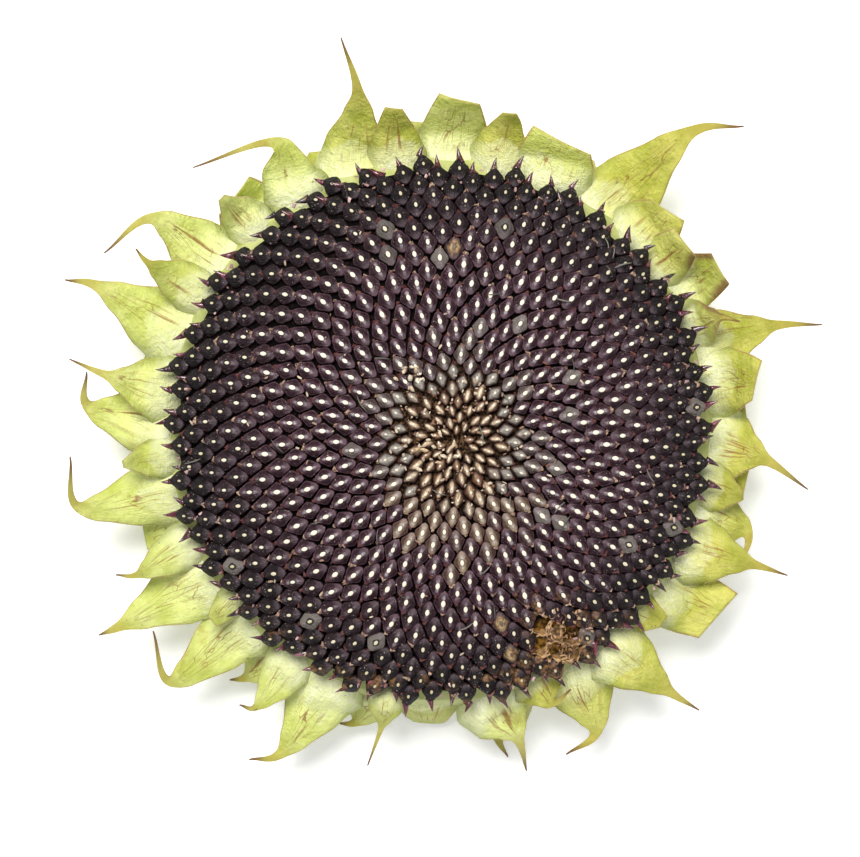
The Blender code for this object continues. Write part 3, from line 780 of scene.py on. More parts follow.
class Rule(Graph):
    """A Geometry Nodes tree whose sizes are named inputs."""

    KINDS = {float: "Float", bpy.types.Object: "Object", bpy.types.Material: "Material"}

    def __init__(self, name, **sizes):
        super().__init__(bpy.data.node_groups.new(name, "GeometryNodeTree"))
        self.sizes = {label.replace("_", " "): value for label, value in sizes.items()}
        sockets = self.tree.interface.new_socket
        sockets("Geometry", in_out="INPUT", socket_type="NodeSocketGeometry")
        sockets("Geometry", in_out="OUTPUT", socket_type="NodeSocketGeometry")
        for label, value in self.sizes.items():
            sockets(label, in_out="INPUT", socket_type="NodeSocket" + self.KINDS[type(value)])
        self.entry = self.tree.nodes.new("NodeGroupInput")

    def __getitem__(self, label):
        return Signal(self, self.entry.outputs[label])

    def put(self, shape, facing, size):
        """Copies of a shape on the points that come in, and the end of the tree."""
        self.result(self.copies(self["Geometry"], shape, facing, size))

    def dice(self, low, high, seed):
        """A random value for each point."""
        return self.node("FunctionNodeRandomValue", None, {2: low, 3: high, "Seed": seed}, out=1)

    def scaled(self, vector, size):
        return self.node("ShaderNodeVectorMath", {"operation": "SCALE"}, {0: vector, "Scale": size})

    def read(self, name, kind="FLOAT"):
        return self.node("GeometryNodeInputNamedAttribute", {"data_type": kind}, {0: name})

    def stored(self, geometry, name, value, kind="FLOAT"):
        settings = {"data_type": kind, "domain": "POINT"}
        values = {"Geometry": geometry, "Name": name, "Value": value}
        return self.node("GeometryNodeStoreNamedAttribute", settings, values)

    def facing(self):
        """The turn that stands a copy on its seed's own directions."""
        settings = {"primary_axis": "Z", "secondary_axis": "X"}
        values = {0: self.read("up", "FLOAT_VECTOR"), 1: self.read("axis", "FLOAT_VECTOR")}
        return self.node("FunctionNodeAxesToRotation", settings, values)

    def swayed(self, facing, x, y, z):
        """A turn with a further random one, up to x, y and z radians each way."""
        sway = self.vector(self.dice(-x, x, 31), self.dice(-y, y, 32), self.dice(-z, z, 33))
        sway = self.node("FunctionNodeEulerToRotation", None, {0: sway})
        settings = {"rotation_space": "LOCAL"}
        return self.node("FunctionNodeRotateRotation", settings, {0: facing, 1: sway})

    def copies(self, points, shape, rotation, size):
        """Copies of an object's mesh on points, made real."""
        source = self.node("GeometryNodeObjectInfo", None, {"Object": self[shape]}, out="Geometry")
        scale = self.vector(size, size, size)
        values = {"Points": points, "Instance": source, "Rotation": rotation, "Scale": scale}
        copies = self.node("GeometryNodeInstanceOnPoints", None, values)
        return self.node("GeometryNodeRealizeInstances", None, {0: copies})

    def result(self, geometry):
        """Ends the tree, with the rule's material on what it made."""
        values = {"Geometry": geometry, "Material": self["Material"]}
        done = self.node("GeometryNodeSetMaterial", None, values)
        self.feed(self.tree.nodes.new("NodeGroupOutput").inputs[0], done)

    def grow(self, name, base):
        """Runs the rule once on a mesh and keeps what it makes as an object with a plain mesh."""
        made = bpy.data.objects.new(name, base)
        bpy.context.scene.collection.objects.link(made)
        modifier = made.modifiers.new(name, "NODES")
        modifier.node_group = self.tree
        for item in self.tree.interface.items_tree:
            if item.in_out == "INPUT" and item.name in self.sizes:
                modifier[item.identifier] = self.sizes[item.name]
        seen = bpy.context.evaluated_depsgraph_get()
        mesh = bpy.data.meshes.new_from_object(made.evaluated_get(seen))
        made.modifiers.clear()
        made.data = mesh
        for value in self.sizes.values():
            if isinstance(value, bpy.types.Object):
                bpy.data.objects.remove(value)
        return made


def skin(bm, rows):
    """Faces round a stack of rings of vertices, closed at both ends."""
    for first, second in zip(rows, rows[1:]):
        for i in range(len(first)):
            j = (i + 1) % len(first)
            bm.faces.new((first[i], first[j], second[j], second[i]))
    bm.faces.new(rows[0])
    bm.faces.new(rows[-1][::-1])


def hull_shape(name, sizes, roof, points, skirt, sides=HULL_SIDES):
    """A hull of unit size with its top at the origin. Its roof falls by roof[0] to the sides
    and roof[1] to the ends; points says how sharp its outer and inner ends are. The
    attribute top says how far out on the hull a vertex is, then how far along and across."""
    bm = bmesh.new()
    top = bm.verts.layers.float_vector.new("top")
    rows = []
    for size, depth in [(size, 0) for size in sizes] + list(skirt):
        row = []
        for i in range(sides):
            turn = 2 * math.pi * i / sides
            x, y = math.cos(turn), math.sin(turn)
            y = math.copysign(abs(y) ** (points[0] if x > 0 else points[1]), y)
            fall = roof[0] * abs(y * size) ** 1.4 + roof[1] * abs(x * size) ** 2.2
            vert = bm.verts.new((x * size, y * size, -fall - depth))
            vert[top] = (size if depth == 0 else 1 + depth, x * size, y * size)
            row.append(vert)
        rows.append(row)
    skin(bm, rows)
    return new_object(name, bm)


def fitted_copies(rule, shape, size, squeeze=1.0, sway=0.0):
    """Round hulls on the rule's points, each pressed into the outline of its cell.
    Squeeze makes them narrower, and sway leans each at random by up to so many radians."""
    place = rule.node("GeometryNodeInputPosition")
    points = rule.stored(rule["Geometry"], "home", place, "FLOAT_VECTOR")
    facing = rule.swayed(rule.facing(), sway, sway, sway) if sway else rule.facing()
    hulls = rule.copies(points, shape, facing, size)
    top = rule.read("top", "FLOAT_VECTOR")
    turn = rule.maths("ARCTAN2", rule.part_of(top, "Z"), rule.part_of(top, "Y"))
    cells = [rule.read(f"cell_{i}", "FLOAT_VECTOR") for i in range(3)]
    waves = [rule.part_of(cell, axis) for cell in cells for axis in "XYZ"]
    reach = waves[0]
    for k in (1, 2, 3, 4):
        reach = reach + waves[2 * k - 1] * rule.maths("COSINE", turn * k)
        reach = reach + waves[2 * k] * rule.maths("SINE", turn * k)
    home, up = rule.read("home", "FLOAT_VECTOR"), rule.read("up", "FLOAT_VECTOR")
    offset = rule.vectors("SUBTRACT", rule.node("GeometryNodeInputPosition"), home)
    lift = rule.scaled(up, rule.vectors("DOT_PRODUCT", offset, up, out="Value"))
    flat = rule.scaled(rule.vectors("SUBTRACT", offset, lift), reach * rule["Fill"])
    if squeeze != 1:
        axis = rule.read("axis", "FLOAT_VECTOR")
        lengthwise = rule.scaled(axis, rule.vectors("DOT_PRODUCT", flat, axis, out="Value"))
        narrow = rule.scaled(rule.vectors("SUBTRACT", flat, lengthwise), squeeze)
        flat = rule.vectors("ADD", lengthwise, narrow)
    place = rule.vectors("ADD", rule.vectors("ADD", home, lift), flat)
    return rule.node("GeometryNodeSetPosition", None, {"Geometry": hulls, "Position": place})


seeds = all_seeds()
for place in TAN_SPOTS:
    min(seeds, key=lambda s: (s.place.xy - Vector(place) * MM).length).tan = 1
centre_draw = random.Random(5)
for s in seeds[:CENTRE_SEED_COUNT]:
    stray = CENTRE_STRAY * s.spacing
    s.place += Vector([centre_draw.uniform(-stray, stray) for i in range(3)])
eaten = [s for s in seeds if (s.place.xy - CHEWED_SPOT).length < CHEWED_RADIUS]
ripe_seeds = [s for s in seeds[CENTRE_SEED_COUNT:] if s not in eaten]

hull = Finish("seed hull", Specular_IOR_Level=0.28)
top_place = hull.attribute("top", "Vector")
ring, lengthwise, across = (hull.part_of(top_place, axis) for axis in "XYZ")
sideways = abs(across)
luck, share, ripe = (hull.attribute(name) for name in ("luck", "share", "ripe"))
fibres = hull.drawn_out(lengthwise * 1.2, across * 5, luck * 50, detail=4, scale=1.6)
mottle = hull.grain(560, 5, 0.7)
inner = hull.between(share + luck * 0.12, 1.02, 0.60)
black = hull.mix(hull.between(mottle, 0.25, 0.75), shade(5, 2, 4), shade(38, 25, 28))
mauve = hull.mix(hull.between(mottle, 0.25, 0.75), shade(28, 10, 20), shade(106, 70, 84))
colour = hull.mix(inner * 0.9, black, mauve)
# Painted shade: each hull's flanks darken where they fall away from the light
shaded_flank = hull.between(sideways + mottle * 0.2, 0.26, 0.72)
flank_shade_colour = hull.mix(inner, shade(12, 5, 8), shade(38, 12, 23))
colour = hull.mix(shaded_flank * (inner * 0.45 + 0.45), colour, flank_shade_colour)
grey = hull.between(ripe + luck * 0.55, 1.62, 1.25)
grey_hull = hull.mix(shaded_flank, shade(150, 142, 132), shade(80, 66, 60))
grey_hull = hull.mix(hull.between(fibres, 0.42, 0.58) * 0.6, grey_hull, shade(104, 92, 84))
warm = hull.between(hull.part_of(hull.here(), "Y"), -12 * MM, -24 * MM)
grey_hull = hull.mix(warm * 0.7, grey_hull, hull.mix(shaded_flank, shade(190, 166, 130), shade(104, 74, 52)))
colour = hull.mix(grey * 0.85, colour, grey_hull)
pale = hull.between(luck, 0.975, 0.982)
colour = hull.mix(pale * 0.7, colour, shade(136, 128, 120))
# Painted highlight along each hull's ridge, strongest on the inner seeds
ridge_highlight = hull.between(sideways + fibres * 0.6, 0.54, 0.32)
ridge_highlight = ridge_highlight * hull.between(ring + fibres * 0.4 + mottle * 0.3, 1.12, 0.70)
lit = hull.between(share + luck * 0.3, 1.05, 0.55) * 0.74 + 0.02
colour = hull.mix(ridge_highlight * lit, colour, shade(206, 198, 198))
# Painted sheen: a paler grey-mauve at each hull's inner end
inward_sheen = hull.between(lengthwise + fibres * 0.5, -0.10, -0.55) * hull.between(ring, 0.98, 0.85)
colour = hull.mix(inward_sheen * 0.34, colour, shade(126, 110, 118))
# Painted highlight: a thin paler line round the inner hulls' tops
edge_highlight = hull.between(ring + fibres * 0.2, 0.93, 0.98) * inner
colour = hull.mix(edge_highlight * 0.22, colour, shade(158, 122, 130))
edge_line = hull.between(ring + fibres * 0.1, 0.98, 1.06)
colour = hull.mix(edge_line * 0.75, colour, shade(42, 13, 21))
dust = hull.between(hull.grain(1900, 2, 0.6), 0.65, 0.71) * hull.between(hull.grain(260, 2), 0.40, 0.58)
colour = hull.mix(dust * 0.85, colour, shade(206, 190, 178))
halo = hull.between(ring, 0.40, 0.345)
colour = hull.mix(halo * (0.9 - inner * 0.35), colour, shade(20, 11, 14))
# Painted shade: the hulls' sides below the top go near black where they drop into the gaps
crevice_shade = hull.between(ring, 1.0, 1.16)
colour = hull.mix(crevice_shade, colour, shade(5, 2, 3))
tan = hull.attribute("tan")
tan_hull = hull.mix(hull.between(mottle, 0.35, 0.6), shade(96, 66, 44), shade(196, 164, 120))
colour = hull.mix(tan * hull.between(ring + fibres * 0.5, 1.2, 0.5), colour, tan_hull)
away = hull.distance(SPOILT_SPOT) + luck * 20 * MM + hull.grain(330, 4) * 16 * MM
spoilt = hull.between(away, 36 * MM, 20 * MM)
brown = hull.mix(hull.between(hull.grain(900, 4, 0.7), 0.35, 0.65), shade(70, 46, 36), shade(186, 138, 84))
blotches = hull.between(hull.grain(300, 4, 0.6), 0.44, 0.60)
colour = hull.mix(spoilt * blotches * 0.85, colour, brown)
# The lowest hulls of the rim are weathered to brown in patches
worn = hull.between(hull.part_of(hull.here(), "Y"), -50 * MM, -80 * MM)
worn = worn * hull.between(share + luck * 0.06, 0.9, 1.0)
colour = hull.mix(worn * hull.between(hull.grain(210, 4, 0.6), 0.5, 0.66) * 0.6, colour, brown)
bumps = fibres * 0.5 + mottle * 1.0 + hull.grain(1500, 3) * 0.6
hull.paint(colour, 0.32 + hull.grain(900) * 0.3, bumps, relief=0.9 * MM, strength=1.0)

hulls = Rule(
    "seeds in spirals",
    Fill=0.98,
    Shape=hull_shape(
        "hull shape", (0.16, 0.36, 0.55, 0.72, 0.87, 0.97), (0.36, 0.16), (1.05, 1.2),
        ((1.0, 0.13), (0.86, 1.15)),
    ),
    Material=hull.material,
)
hulls.result(fitted_copies(hulls, "Shape", hulls.read("spacing") * hulls.dice(0.97, 1.05, 7)))
seed_hulls = hulls.grow("seed_hulls", seed_points(ripe_seeds))
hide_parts("seeds")
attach(seed_hulls, "root")

# The scars: where the floret broke off, each hull's top bears a small cushion of bare wood
SCAR_HALF = (0.200, 0.122)  # along and across, in shares of the spacing
scar = Finish("seed scar", Roughness=0.55)
dull = scar.between(scar.attribute("share") + scar.attribute("luck") * 0.12, 0.72, 1.05)
scar_colour = scar.mix(dull, shade(228, 218, 198), shade(186, 178, 138))
stains = scar.between(scar.grain(1300, 3), 0.5, 0.75)
scar_colour = scar.mix(stains * 0.4, scar_colour, shade(214, 186, 158))
scar_edge = scar.between(scar.part_of(scar.attribute("top", "Vector"), "X"), 0.85, 1.0)
scar_colour = scar.mix(scar_edge * 0.5, scar_colour, shade(190, 164, 132))
scar.paint(scar.mix(scar.attribute("tan") * 0.9, scar_colour, shade(58, 34, 22)))


def scar_shape(name, half_along, half_across, height):
    """A low diamond cushion with rounded sides."""
    made = hull_shape(name, (0.45, 0.8, 1.0), (0.03, 0.03), (1.6, 1.6), ((1.02, 0.08),), 12)
    for vert in made.data.vertices:
        vert.co = Vector((vert.co.x * half_along, vert.co.y * half_across, vert.co.z + height))
    return made


scars = Rule("scars on seeds", Shape=scar_shape("scar shape", *SCAR_HALF, 0.012), Material=scar.material)
small = scars.between(scars.read("share"), 0.60, 1.0)
size = scars.read("spacing") * (1 - small * 0.42) * scars.dice(0.88, 1.1, 8)
scars.put("Shape", scars.facing(), size)
seed_scars = scars.grow("seed_scars", seed_points(ripe_seeds))
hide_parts("seeds")
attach(seed_scars, "root")

# The chaff
# Each seed is clasped by a folded papery scale. Its dry tan tip shows at the seed's outer
# end; round the head's edge the scales are long, horn-like and glossy purple.


def folded_tip(name, arms, thick, draw):
    """A crumpled scale tip: two uneven arms that clasp a seed's outer end."""
    bm = bmesh.new()
    for way, length in zip((-1, 1), arms):
        rows = []
        for i in range(4):
            t = i / 3
            aside = way * length * (0.25 + 0.75 * t) * t**0.7
            middle = Vector((0.04 - length * 0.75 * t, aside, 0.05 - 0.16 * t))
            middle += Vector([draw.uniform(-1, 1) for i in range(3)]) * 0.02
            half = thick * (1 - 0.55 * t)
            rows.append([
                bm.verts.new(middle + Vector((half, way * half * 0.4, draw.uniform(-0.02, 0.03)))),
                bm.verts.new(middle + Vector((0.0, 0.0, 0.05))),
                bm.verts.new(middle + Vector((-half * 0.8, -way * half * 0.3, 0.0))),
                bm.verts.new(middle + Vector((0.0, 0.0, -0.5))),
            ])
        skin(bm, rows)
    return new_object(name, bm, smooth=False)


def horn():
    """A scale of the edge: keeled, curved and drawn out to a point."""
    bm = bmesh.new()
    rows = []
    for i in range(8):
        t = i / 7
        middle = Vector((-0.25 + 1.15 * t, 0.10 * math.sin(2.2 * t), -0.40 + 0.30 * t + 0.22 * t * t))
        wide, thick = 0.36 * (1 - t) ** 0.9 + 0.010, 0.26 * (1 - t) ** 1.1 + 0.010
        row = []
        for k in range(8):
            turn = math.pi * k / 4
            keel = 1.35 if k == 2 else 1
            offset = Vector((0, wide * math.cos(turn), thick * math.sin(turn) * keel))
            row.append(bm.verts.new(middle + offset))
        rows.append(row)
    skin(bm, rows)
    return new_object("horn", bm)


straw = Finish("dry chaff", Roughness=0.6)
luck = straw.attribute("luck")
straw_colour = straw.mix(straw.between(luck, 0.1, 0.6), shade(192, 162, 136), shade(98, 50, 44))
flecks_and_glints = straw.between(straw.grain(1500, 3), 0.42, 0.60)
straw_colour = straw.mix(flecks_and_glints * 0.8, straw_colour, shade(62, 28, 30))
straw.paint(straw_colour, height=straw.grain(2200, 2))
tip_draw = random.Random(21)
TIP_KINDS = (((0.26, 0.20), 0.085), ((0.16, 0.25), 0.10), ((0.20, 0.12), 0.12))  # arms, thickness
FIRST_WITH_TIP = 30  # the seeds before it are too crowded to show any chaff
LAST_SHARE_WITH_TIP = 0.985
for i, (arms, thick) in enumerate(TIP_KINDS):
    shape = folded_tip("folded tip", arms, thick, tip_draw)
    tips = Rule("chaff tips at seeds", Shape=shape, Material=straw.material)
    size = tips.read("spacing") * tips.dice(0.45, 1.05, 10)
    facing = tips.swayed(tips.facing(), 0.25, 0.3, 0.5)
    tips.put("Shape", facing, size)
    own = [s for s in seeds[FIRST_WITH_TIP:] if s.number % 3 == i and s not in eaten]
    own = [s for s in own if s.share < LAST_SHARE_WITH_TIP]
    chaff_tips = tips.grow(f"chaff_tips_{i + 1}", seed_points(own, tipwards=1, rise=-0.14))
    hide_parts("seeds")
    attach(chaff_tips, "root")

RIM_HORNS = 98
gloss = Finish("purple chaff", Coat_Weight=0.8, Coat_Roughness=0.08)
luck = gloss.attribute("luck")
gloss_colour = gloss.mix(luck, shade(34, 8, 14), shade(92, 22, 42))
# Painted highlight: paler patches on the glossy horns
flecks_and_glints = gloss.between(gloss.grain(420, 3), 0.54, 0.72)
gloss_colour = gloss.mix(flecks_and_glints * 0.6, gloss_colour, shade(168, 108, 118))
gloss.paint(gloss_colour, 0.16 + gloss.grain(900) * 0.2, gloss.grain(1500, 2))
horns = Rule("horns round the edge", Shape=horn(), Material=gloss.material)
size = horns.read("spacing") * horns.dice(0.42, 0.76, 15)
facing = horns.swayed(horns.facing(), 0.5, 0.22, 0.55)
horns.put("Shape", facing, size)
rim_horns = horns.grow("rim_horns", seed_points(seeds[-RIM_HORNS:], tipwards=1, rise=-0.12))
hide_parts("seeds")
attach(rim_horns, "root")

# The centre seeds
# The last florets to open never set seed: their hulls stay small, slim, dry and pale, and
# stand round a dark pit where the youngest withered away.

PIT_SEEDS = 3
almond = Finish("unfilled hull", Roughness=0.62)
top_place = almond.attribute("top", "Vector")
ring, along, across = (almond.part_of(top_place, axis) for axis in "XYZ")
luck, ripe = almond.attribute("luck"), almond.attribute("ripe")
fibres = almond.drawn_out(along * 1.5, across * 4, luck * 50, detail=4, scale=1.8)
colour = almond.mix(almond.between(fibres, 0.36, 0.62), shade(168, 136, 98), shade(242, 226, 196))
# Brown flanks, darkened further with painted shade
shaded_flank = almond.between(abs(across) + fibres * 0.5, 0.42, 0.72)
colour = almond.mix(shaded_flank * 0.88, colour, shade(84, 50, 32))
inner_end = almond.between(along + fibres * 0.4, 0.05, -0.55)
colour = almond.mix(inner_end * 0.6, colour, shade(116, 80, 52))
brown_share = almond.between(luck + almond.grain(60, 1) * 0.5, 0.85, 1.15)
colour = almond.mix(brown_share * 0.7, colour, shade(112, 70, 40))
greying = almond.between(ripe + luck * 0.35, 0.78, 1.05)
silver = almond.mix(almond.between(fibres, 0.3, 0.7), shade(104, 100, 98), shade(168, 164, 154))
colour = almond.mix(greying * 0.85, colour, silver)
colour = almond.mix(almond.between(ring + fibres * 0.4, 0.78, 1.08) * 0.92, colour, shade(58, 30, 20))
# Painted shade: near black below the top ring, where the hulls drop into the gaps
colour = almond.mix(almond.between(ring, 1.05, 1.3), colour, shade(26, 14, 13))
bumps = fibres + almond.grain(1600, 3) * 0.6
almond.paint(colour, height=bumps, relief=0.5 * MM, strength=0.8)
almonds = Rule(
    "unfilled seeds in spirals",
    Fill=1.0,
    Shape=hull_shape(
        "almond shape", (0.18, 0.4, 0.62, 0.82, 0.97), (0.42, 0.14), (1.15, 1.5),
        ((1.0, 0.12), (0.8, 0.9)), 12,
    ),
    Material=almond.material,
)
size = almonds.read("spacing") * almonds.dice(0.98, 1.2, 17)
almonds.result(fitted_copies(almonds, "Shape", size, squeeze=0.86, sway=0.16))
pale_seeds = seeds[PIT_SEEDS:CENTRE_SEED_COUNT]
centre_hulls = almonds.grow("centre_hulls", seed_points(pale_seeds))
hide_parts("centre_seeds")
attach(centre_hulls, "root")

centre_marks = Rule("scars on unfilled seeds", Shape=scar_shape("small scar", 0.13, 0.085, 0.015),
                    Material=scar.material)
size = centre_marks.read("spacing") * centre_marks.dice(0.8, 1.1, 18)
centre_marks.put("Shape", centre_marks.facing(), size)
centre_scars = centre_marks.grow("centre_scars", seed_points(pale_seeds, tipwards=0.16, rise=0.02))
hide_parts("centre_seeds")
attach(centre_scars, "root")

# The eaten patch
# Near the lower right edge a few seeds have been eaten: torn empty shells are left, with
# ragged tan rims, and frayed orange-brown fibres of their walls lie about.

FRAYED_COUNT = 30
FRAYED_REACH = 9.5  # millimetres
STRAND_STEPS = 6
# Up the outside and down the inside: size, depth, and how ragged a torn shell is there
SHELL_RINGS = ((0.9, -1.1, 0), (1.0, 0, 1), (0.90, 0.02, 1), (0.84, -0.24, 0.6), (0.62, -0.50, 0))


def torn_shell(draw):
    """A hull of unit size without its roof: an open cup with a ragged edge."""
    bm = bmesh.new()
    top = bm.verts.layers.float_vector.new("top")
    rims = [draw.uniform(-0.5, 0.1) for i in range(HULL_SIDES)]
    rows = []
    for size, depth, level in SHELL_RINGS:
        row = []
        for i in range(HULL_SIDES):
            turn = 2 * math.pi * i / HULL_SIDES
            splay = 1 + draw.uniform(-0.06, 0.10) * level
            x, y = size * splay * math.cos(turn), size * splay * math.sin(turn)
            vert = bm.verts.new((x, y, depth + rims[i] * level - 0.1))
            vert[top] = (level, x, y)
            row.append(vert)
        rows.append(row)
    skin(bm, rows)
    return new_object("torn shell", bm)


def strand(name, bend, wide):
    """A flat thread of unit length along X that bows upwards and to one side."""
    bm = bmesh.new()
    rows = []
    for i in range(STRAND_STEPS + 1):
        t = i / STRAND_STEPS
        bow = math.sin(math.pi * t)
        middle = Vector((t - 0.5, bend * bow, bend * bow**2))
        half = wide * (0.35 + 0.65 * bow**0.6)
        sides = ((-half, 0), (0, half * 0.5), (half, 0), (0, -half * 0.4))
        rows.append([bm.verts.new(middle + Vector((0, y, z))) for y, z in sides])
    skin(bm, rows)
    return new_object(name, bm)


def flake(draw):
    """A crumpled scrap of unit length."""
    bm = bmesh.new()
    bmesh.ops.create_icosphere(bm, subdivisions=1, radius=0.5)
    for vert in bm.verts:
        vert.co = Vector((vert.co.x, vert.co.y * 0.62, vert.co.z * 0.34)) * draw.uniform(0.55, 1.35)
    return new_object("flake", bm, smooth=False)


def strewn(count, middle, reach, rise, seed, inner=0):
    """Random points on the seeds round a middle, which lie in random directions."""
    draw = random.Random(seed)
    places, ups, axes = [], [], []
    for i in range(count):
        turn, out = draw.uniform(0, 2 * math.pi), math.sqrt(draw.uniform(inner**2, reach**2))
        plan = Vector((middle[0] + out * math.cos(turn), middle[1] + out * math.sin(turn))) * MM
        height = face_height(plan.length) + draw.uniform(*rise) * MM
        way = draw.uniform(0, 2 * math.pi)
        places.append(Vector((*plan, height)))
        lean = plan / HEAD_RADIUS * 0.35 * (plan.length / HEAD_RADIUS)
        ups.append(Vector((*lean, 1)).normalized())
        axes.append(Vector((math.cos(way), math.sin(way), 0)))
    lucks = [draw.random() for i in range(count)]
    return point_mesh(places, {"up": ups, "axis": axes}, {"luck": lucks})


torn = Finish("torn hull", Roughness=0.7)
level = torn.part_of(torn.attribute("top", "Vector"), "X")
torn_colour = torn.mix(torn.between(torn.grain(700, 4), 0.35, 0.65), shade(58, 40, 20), shade(146, 110, 60))
ragged = torn.between(level + torn.grain(700, 4, 0.7) * 0.7, 0.95, 1.5)
torn_colour = torn.mix(ragged, torn_colour, shade(204, 164, 118))
torn.paint(torn_colour, height=torn.grain(1500, 4), relief=0.5 * MM)
shells = Rule("torn shells", Fill=0.98, Tear=4.5 * MM, Shape=torn_shell(random.Random(8)),
              Material=torn.material)
walls = fitted_copies(shells, "Shape", shells.read("spacing") * shells.dice(0.9, 1.2, 40))
upper = shells.part_of(shells.read("top", "FLOAT_VECTOR"), "X")
values = {"Vector": shells.node("GeometryNodeInputPosition"), "Scale": 420.0, "Detail": 3.0}
bend = shells.node("ShaderNodeTexNoise", None, values, out="Color")
bend = shells.scaled(shells.vectors("SUBTRACT", bend, (0.5, 0.5, 0.5)), upper * shells["Tear"])
shells.result(shells.node("GeometryNodeSetPosition", None, {"Geometry": walls, "Offset": bend}))
torn_shells = shells.grow("torn_shells", seed_points(eaten))
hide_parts("seeds")
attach(torn_shells, "root")


def dry_finish(name, roughness, dark, light, grain, flecks_and_glints):
    """For scraps that each have a tone of their own, with soft flecks all over."""
    made = Finish(name, Roughness=roughness)
    made.paint(made.mix(made.grain(grain, 3) * 0.6, made.mix(made.attribute("luck"), dark, light), flecks_and_glints))
    return made


frayed = dry_finish("frayed fibre", 0.65, shade(104, 64, 40), shade(222, 182, 138), 900, shade(92, 54, 34))
fray = Rule("frayed fibres", Shape=strand("fibre", 0.22, 0.10), Material=frayed.material)
size = fray.dice(1.2, 3.4, 41) * MM
fray.put("Shape", fray.swayed(fray.facing(), 0.7, 0.6, 3.1), size)
middle = (CHEWED_SPOT.x / MM + 1, CHEWED_SPOT.y / MM + 1.5)
frayed_fibres = fray.grow("frayed_fibres", strewn(FRAYED_COUNT, middle, FRAYED_REACH, (-1.2, 0.4), 42))
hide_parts("seeds")
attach(frayed_fibres, "root")

# The litter
# Dry scraps of the florets that have fallen lie between the seeds, thickest in the middle,
# with a few grey threads of spent petals and brown withered florets.

litter = Finish("floret litter", Roughness=0.7)
litter_tone = litter.between(litter.attribute("luck"), 0.1, 0.9)
litter_colour = litter.mix(litter_tone, shade(232, 216, 188), shade(126, 80, 54))
litter.paint(litter.mix(litter.grain(1300, 3) * 0.7, litter_colour, shade(110, 72, 52)))
litter_draw = random.Random(12)
papery = dry_finish("pink papery scrap", 0.5, shade(112, 48, 56), shade(232, 204, 196), 1100,
                    shade(134, 78, 76))
crumpled = Finish("crumpled floret", Roughness=0.65)
crumpled_colour = crumpled.mix(crumpled.attribute("luck"), shade(196, 170, 132), shade(244, 234, 212))
creases = crumpled.between(crumpled.grain(1200, 3), 0.45, 0.7)
crumpled.paint(crumpled.mix(creases, crumpled_colour, shade(140, 104, 72)))
# Name, material, count, middle, inner and outer reach, rise, and length, all in mm
SCRAPS = (
    ("middle_scraps", litter, 190, (5.6, -3.5), (0, 22), (-1.6, 0.1), (0.7, 1.9)),
    ("face_scraps", litter, 170, (0, 0), (0, 82), (-1.6, 0.1), (0.6, 1.9)),
    ("rim_scraps", papery, 130, (0, 0), (80, 87), (-2.4, -0.6), (0.9, 2.4)),
    ("crumpled_scraps", crumpled, 17, (-1.0, -7.5), (0, 7.5), (-0.7, 0.1), (1.6, 3.2)),
    ("crumpled_flakes", crumpled, 12, (-10, 16), (0, 5), (-0.3, 0.4), (1.6, 3.4)),
    ("orange_flakes", frayed, 34, (42, -64), (0, 8), (-1.4, 0.2), (0.9, 2.4)),
)
for i, (name, finish, count, middle, (inner, reach), rise, lengths) in enumerate(SCRAPS):
    scraps = Rule(name.replace("_", " "), Shape=flake(litter_draw), Material=finish.material)
    size = scraps.dice(*lengths, 50 + i) * MM
    scraps.put("Shape", scraps.swayed(scraps.facing(), 0.8, 0.8, 0.1), size)
    made = scraps.grow(name, strewn(count, middle, reach, rise, 60 + i, inner))
    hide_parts("seeds")
    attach(made, "root")

THREAD_COUNT = 30
thread = Finish("grey thread", Roughness=0.55)
thread_colour = thread.mix(thread.attribute("luck"), shade(62, 64, 60), shade(140, 136, 126))
thread.paint(thread.mix(thread.grain(700, 3) * 0.5, thread_colour, shade(88, 84, 76)))
threads = Rule("threads", Shape=strand("thread", 0.06, 0.045), Material=thread.material)
size = threads.dice(3.0, 6.5, 55) * MM
threads.put("Shape", threads.swayed(threads.facing(), 0.5, 0.15, 0.1), size)
grey_threads = threads.grow("grey_threads", strewn(THREAD_COUNT, (0, 0), 84, (-0.4, 0.3), 70))
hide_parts("seeds")
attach(grey_threads, "root")

# The margin hairs
# Short stiff hairs of the leaf's own skin stand along the bracts' margins, paler than the
# leaf. They point outwards, each at a slant of its own, and end where the tails get thin.

HAIR_SPACING = 0.9 * MM
HAIR_LENGTH = 0.9 * MM


def hair():
    bm = bmesh.new()
    bmesh.ops.create_cone(bm, cap_ends=True, segments=3, radius1=0.055, radius2=0.012, depth=1)
    bmesh.ops.translate(bm, verts=bm.verts, vec=(0, 0, 0.4))
    return new_object("hair", bm)


def margin_lines():
    """The bracts' margins as a mesh of bare edges that know which way is out."""
    bm = bmesh.new()
    away = bm.verts.layers.float_vector.new("away")
    for side in margins:
        verts = []
        for place, direction in side:
            vert = bm.verts.new(place)
            vert[away] = direction
            verts.append(vert)
        for pair in zip(verts, verts[1:]):
            bm.edges.new(pair)
    mesh = bpy.data.meshes.new("margins")
    bm.to_mesh(mesh)
    bm.free()
    return mesh


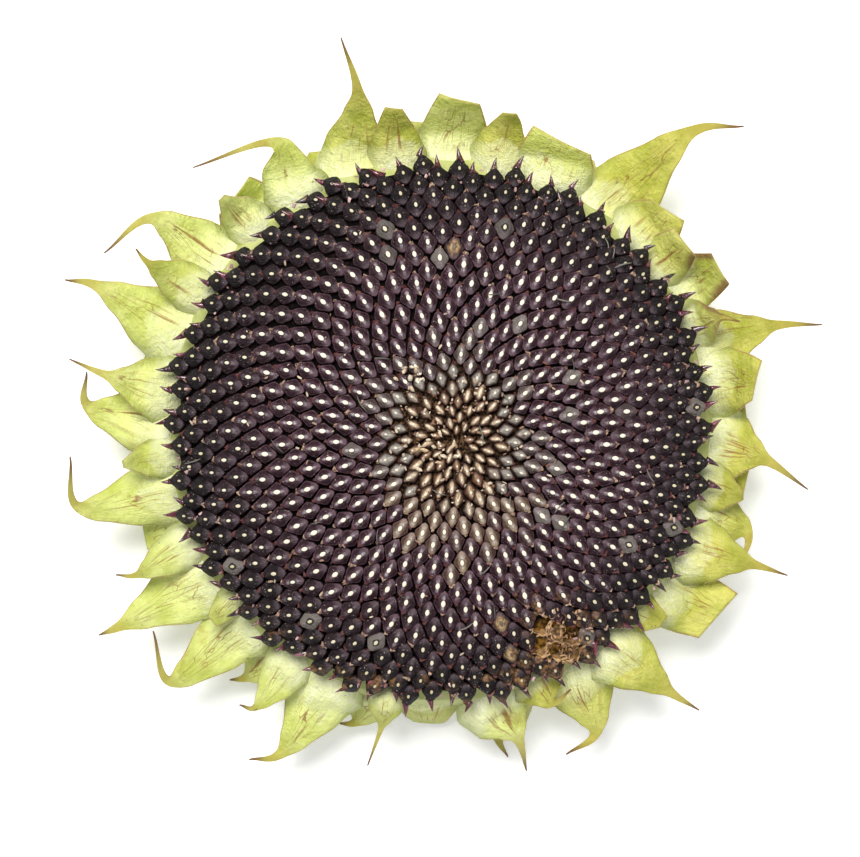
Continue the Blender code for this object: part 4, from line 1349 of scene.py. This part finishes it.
down_hair = Finish("leaf hair", Roughness=0.5)
down_hair.paint(down_hair.mix(down_hair.grain(60), shade(226, 220, 168), shade(196, 160, 128)))
hairs = Rule("hairs along margins", Spacing=HAIR_SPACING, Length=HAIR_LENGTH, Shape=hair(),
             Material=down_hair.material)
lines = hairs.node("GeometryNodeMeshToCurve", None, {0: hairs["Geometry"]})
values = {"Curve": lines, "Length": hairs["Spacing"]}
lines = hairs.node("GeometryNodeResampleCurve", {"mode": "LENGTH"}, values)
splay = hairs.vector(hairs.dice(-0.6, 0.6, 19), hairs.dice(-0.6, 0.6, 20), hairs.dice(-0.3, 0.7, 21))
away = hairs.vectors("ADD", hairs.read("away", "FLOAT_VECTOR"), splay)
turned_out = hairs.node("FunctionNodeAlignRotationToVector", {"axis": "Z"}, {"Vector": away})
length = hairs["Length"] * hairs.dice(0.5, 1.3, 22)
hairs.result(hairs.copies(lines, "Shape", turned_out, length))
margin_hairs = hairs.grow("margin_hairs", margin_lines())
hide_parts("receptacle_and_bracts")
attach(margin_hairs, "root")

# The studio
# A plain white sweep, a large soft lamp above the head's top edge and a weak one opposite.

FLOOR_HALF = 3
floor_bm = bmesh.new()
bmesh.ops.create_grid(floor_bm, x_segments=1, y_segments=1, size=FLOOR_HALF)
# The paper glows faintly: painted light that lifts the shadows cast on it
paper = Finish("studio paper", Roughness=0.9, Emission_Strength=0.22)
paper.paint(shade(252, 252, 251))
floor = new_object("floor", floor_bm, paper.material, smooth=False)


def lamp(name, place, size, power, colour):
    data = bpy.data.lights.new(name, "AREA")
    data.size, data.energy, data.color = size, power, colour
    made = bpy.data.objects.new(name, data)
    made.location = place
    made.rotation_euler = (-Vector(place)).to_track_quat("-Z", "Y").to_euler()
    bpy.context.scene.collection.objects.link(made)


lamp("window light", (-0.22, 0.56, 1.3), 0.65, 24, (1, 0.99, 0.97))
lamp("fill light", (0.7, -0.6, 1.2), 1.4, 5.5, (0.97, 0.98, 1))
world = bpy.data.worlds.new("studio air")
world.use_nodes = True
air = world.node_tree.nodes["Background"].inputs
air["Color"].default_value, air["Strength"].default_value = (0.93, 0.95, 1, 1), 0.36
bpy.context.scene.world = world
bpy.context.scene.view_settings.view_transform = "Standard"

PHOTO_WIDTH = 279.5 * MM  # what the photo's width spans, at the height of the bracts
PHOTO_MIDDLE = (-2.9 * MM, 0.8 * MM)
BRACT_HEIGHT = 35 * MM
CAMERA_DISTANCE = 0.9
camera_data = bpy.data.cameras.new("camera")
camera_data.sensor_width = 36
camera_data.lens = camera_data.sensor_width * CAMERA_DISTANCE / PHOTO_WIDTH
camera_data.clip_start = 0.05
camera = bpy.data.objects.new("camera", camera_data)
camera.location = (*PHOTO_MIDDLE, CAMERA_DISTANCE + BRACT_HEIGHT)
bpy.context.scene.collection.objects.link(camera)
bpy.context.scene.camera = camera
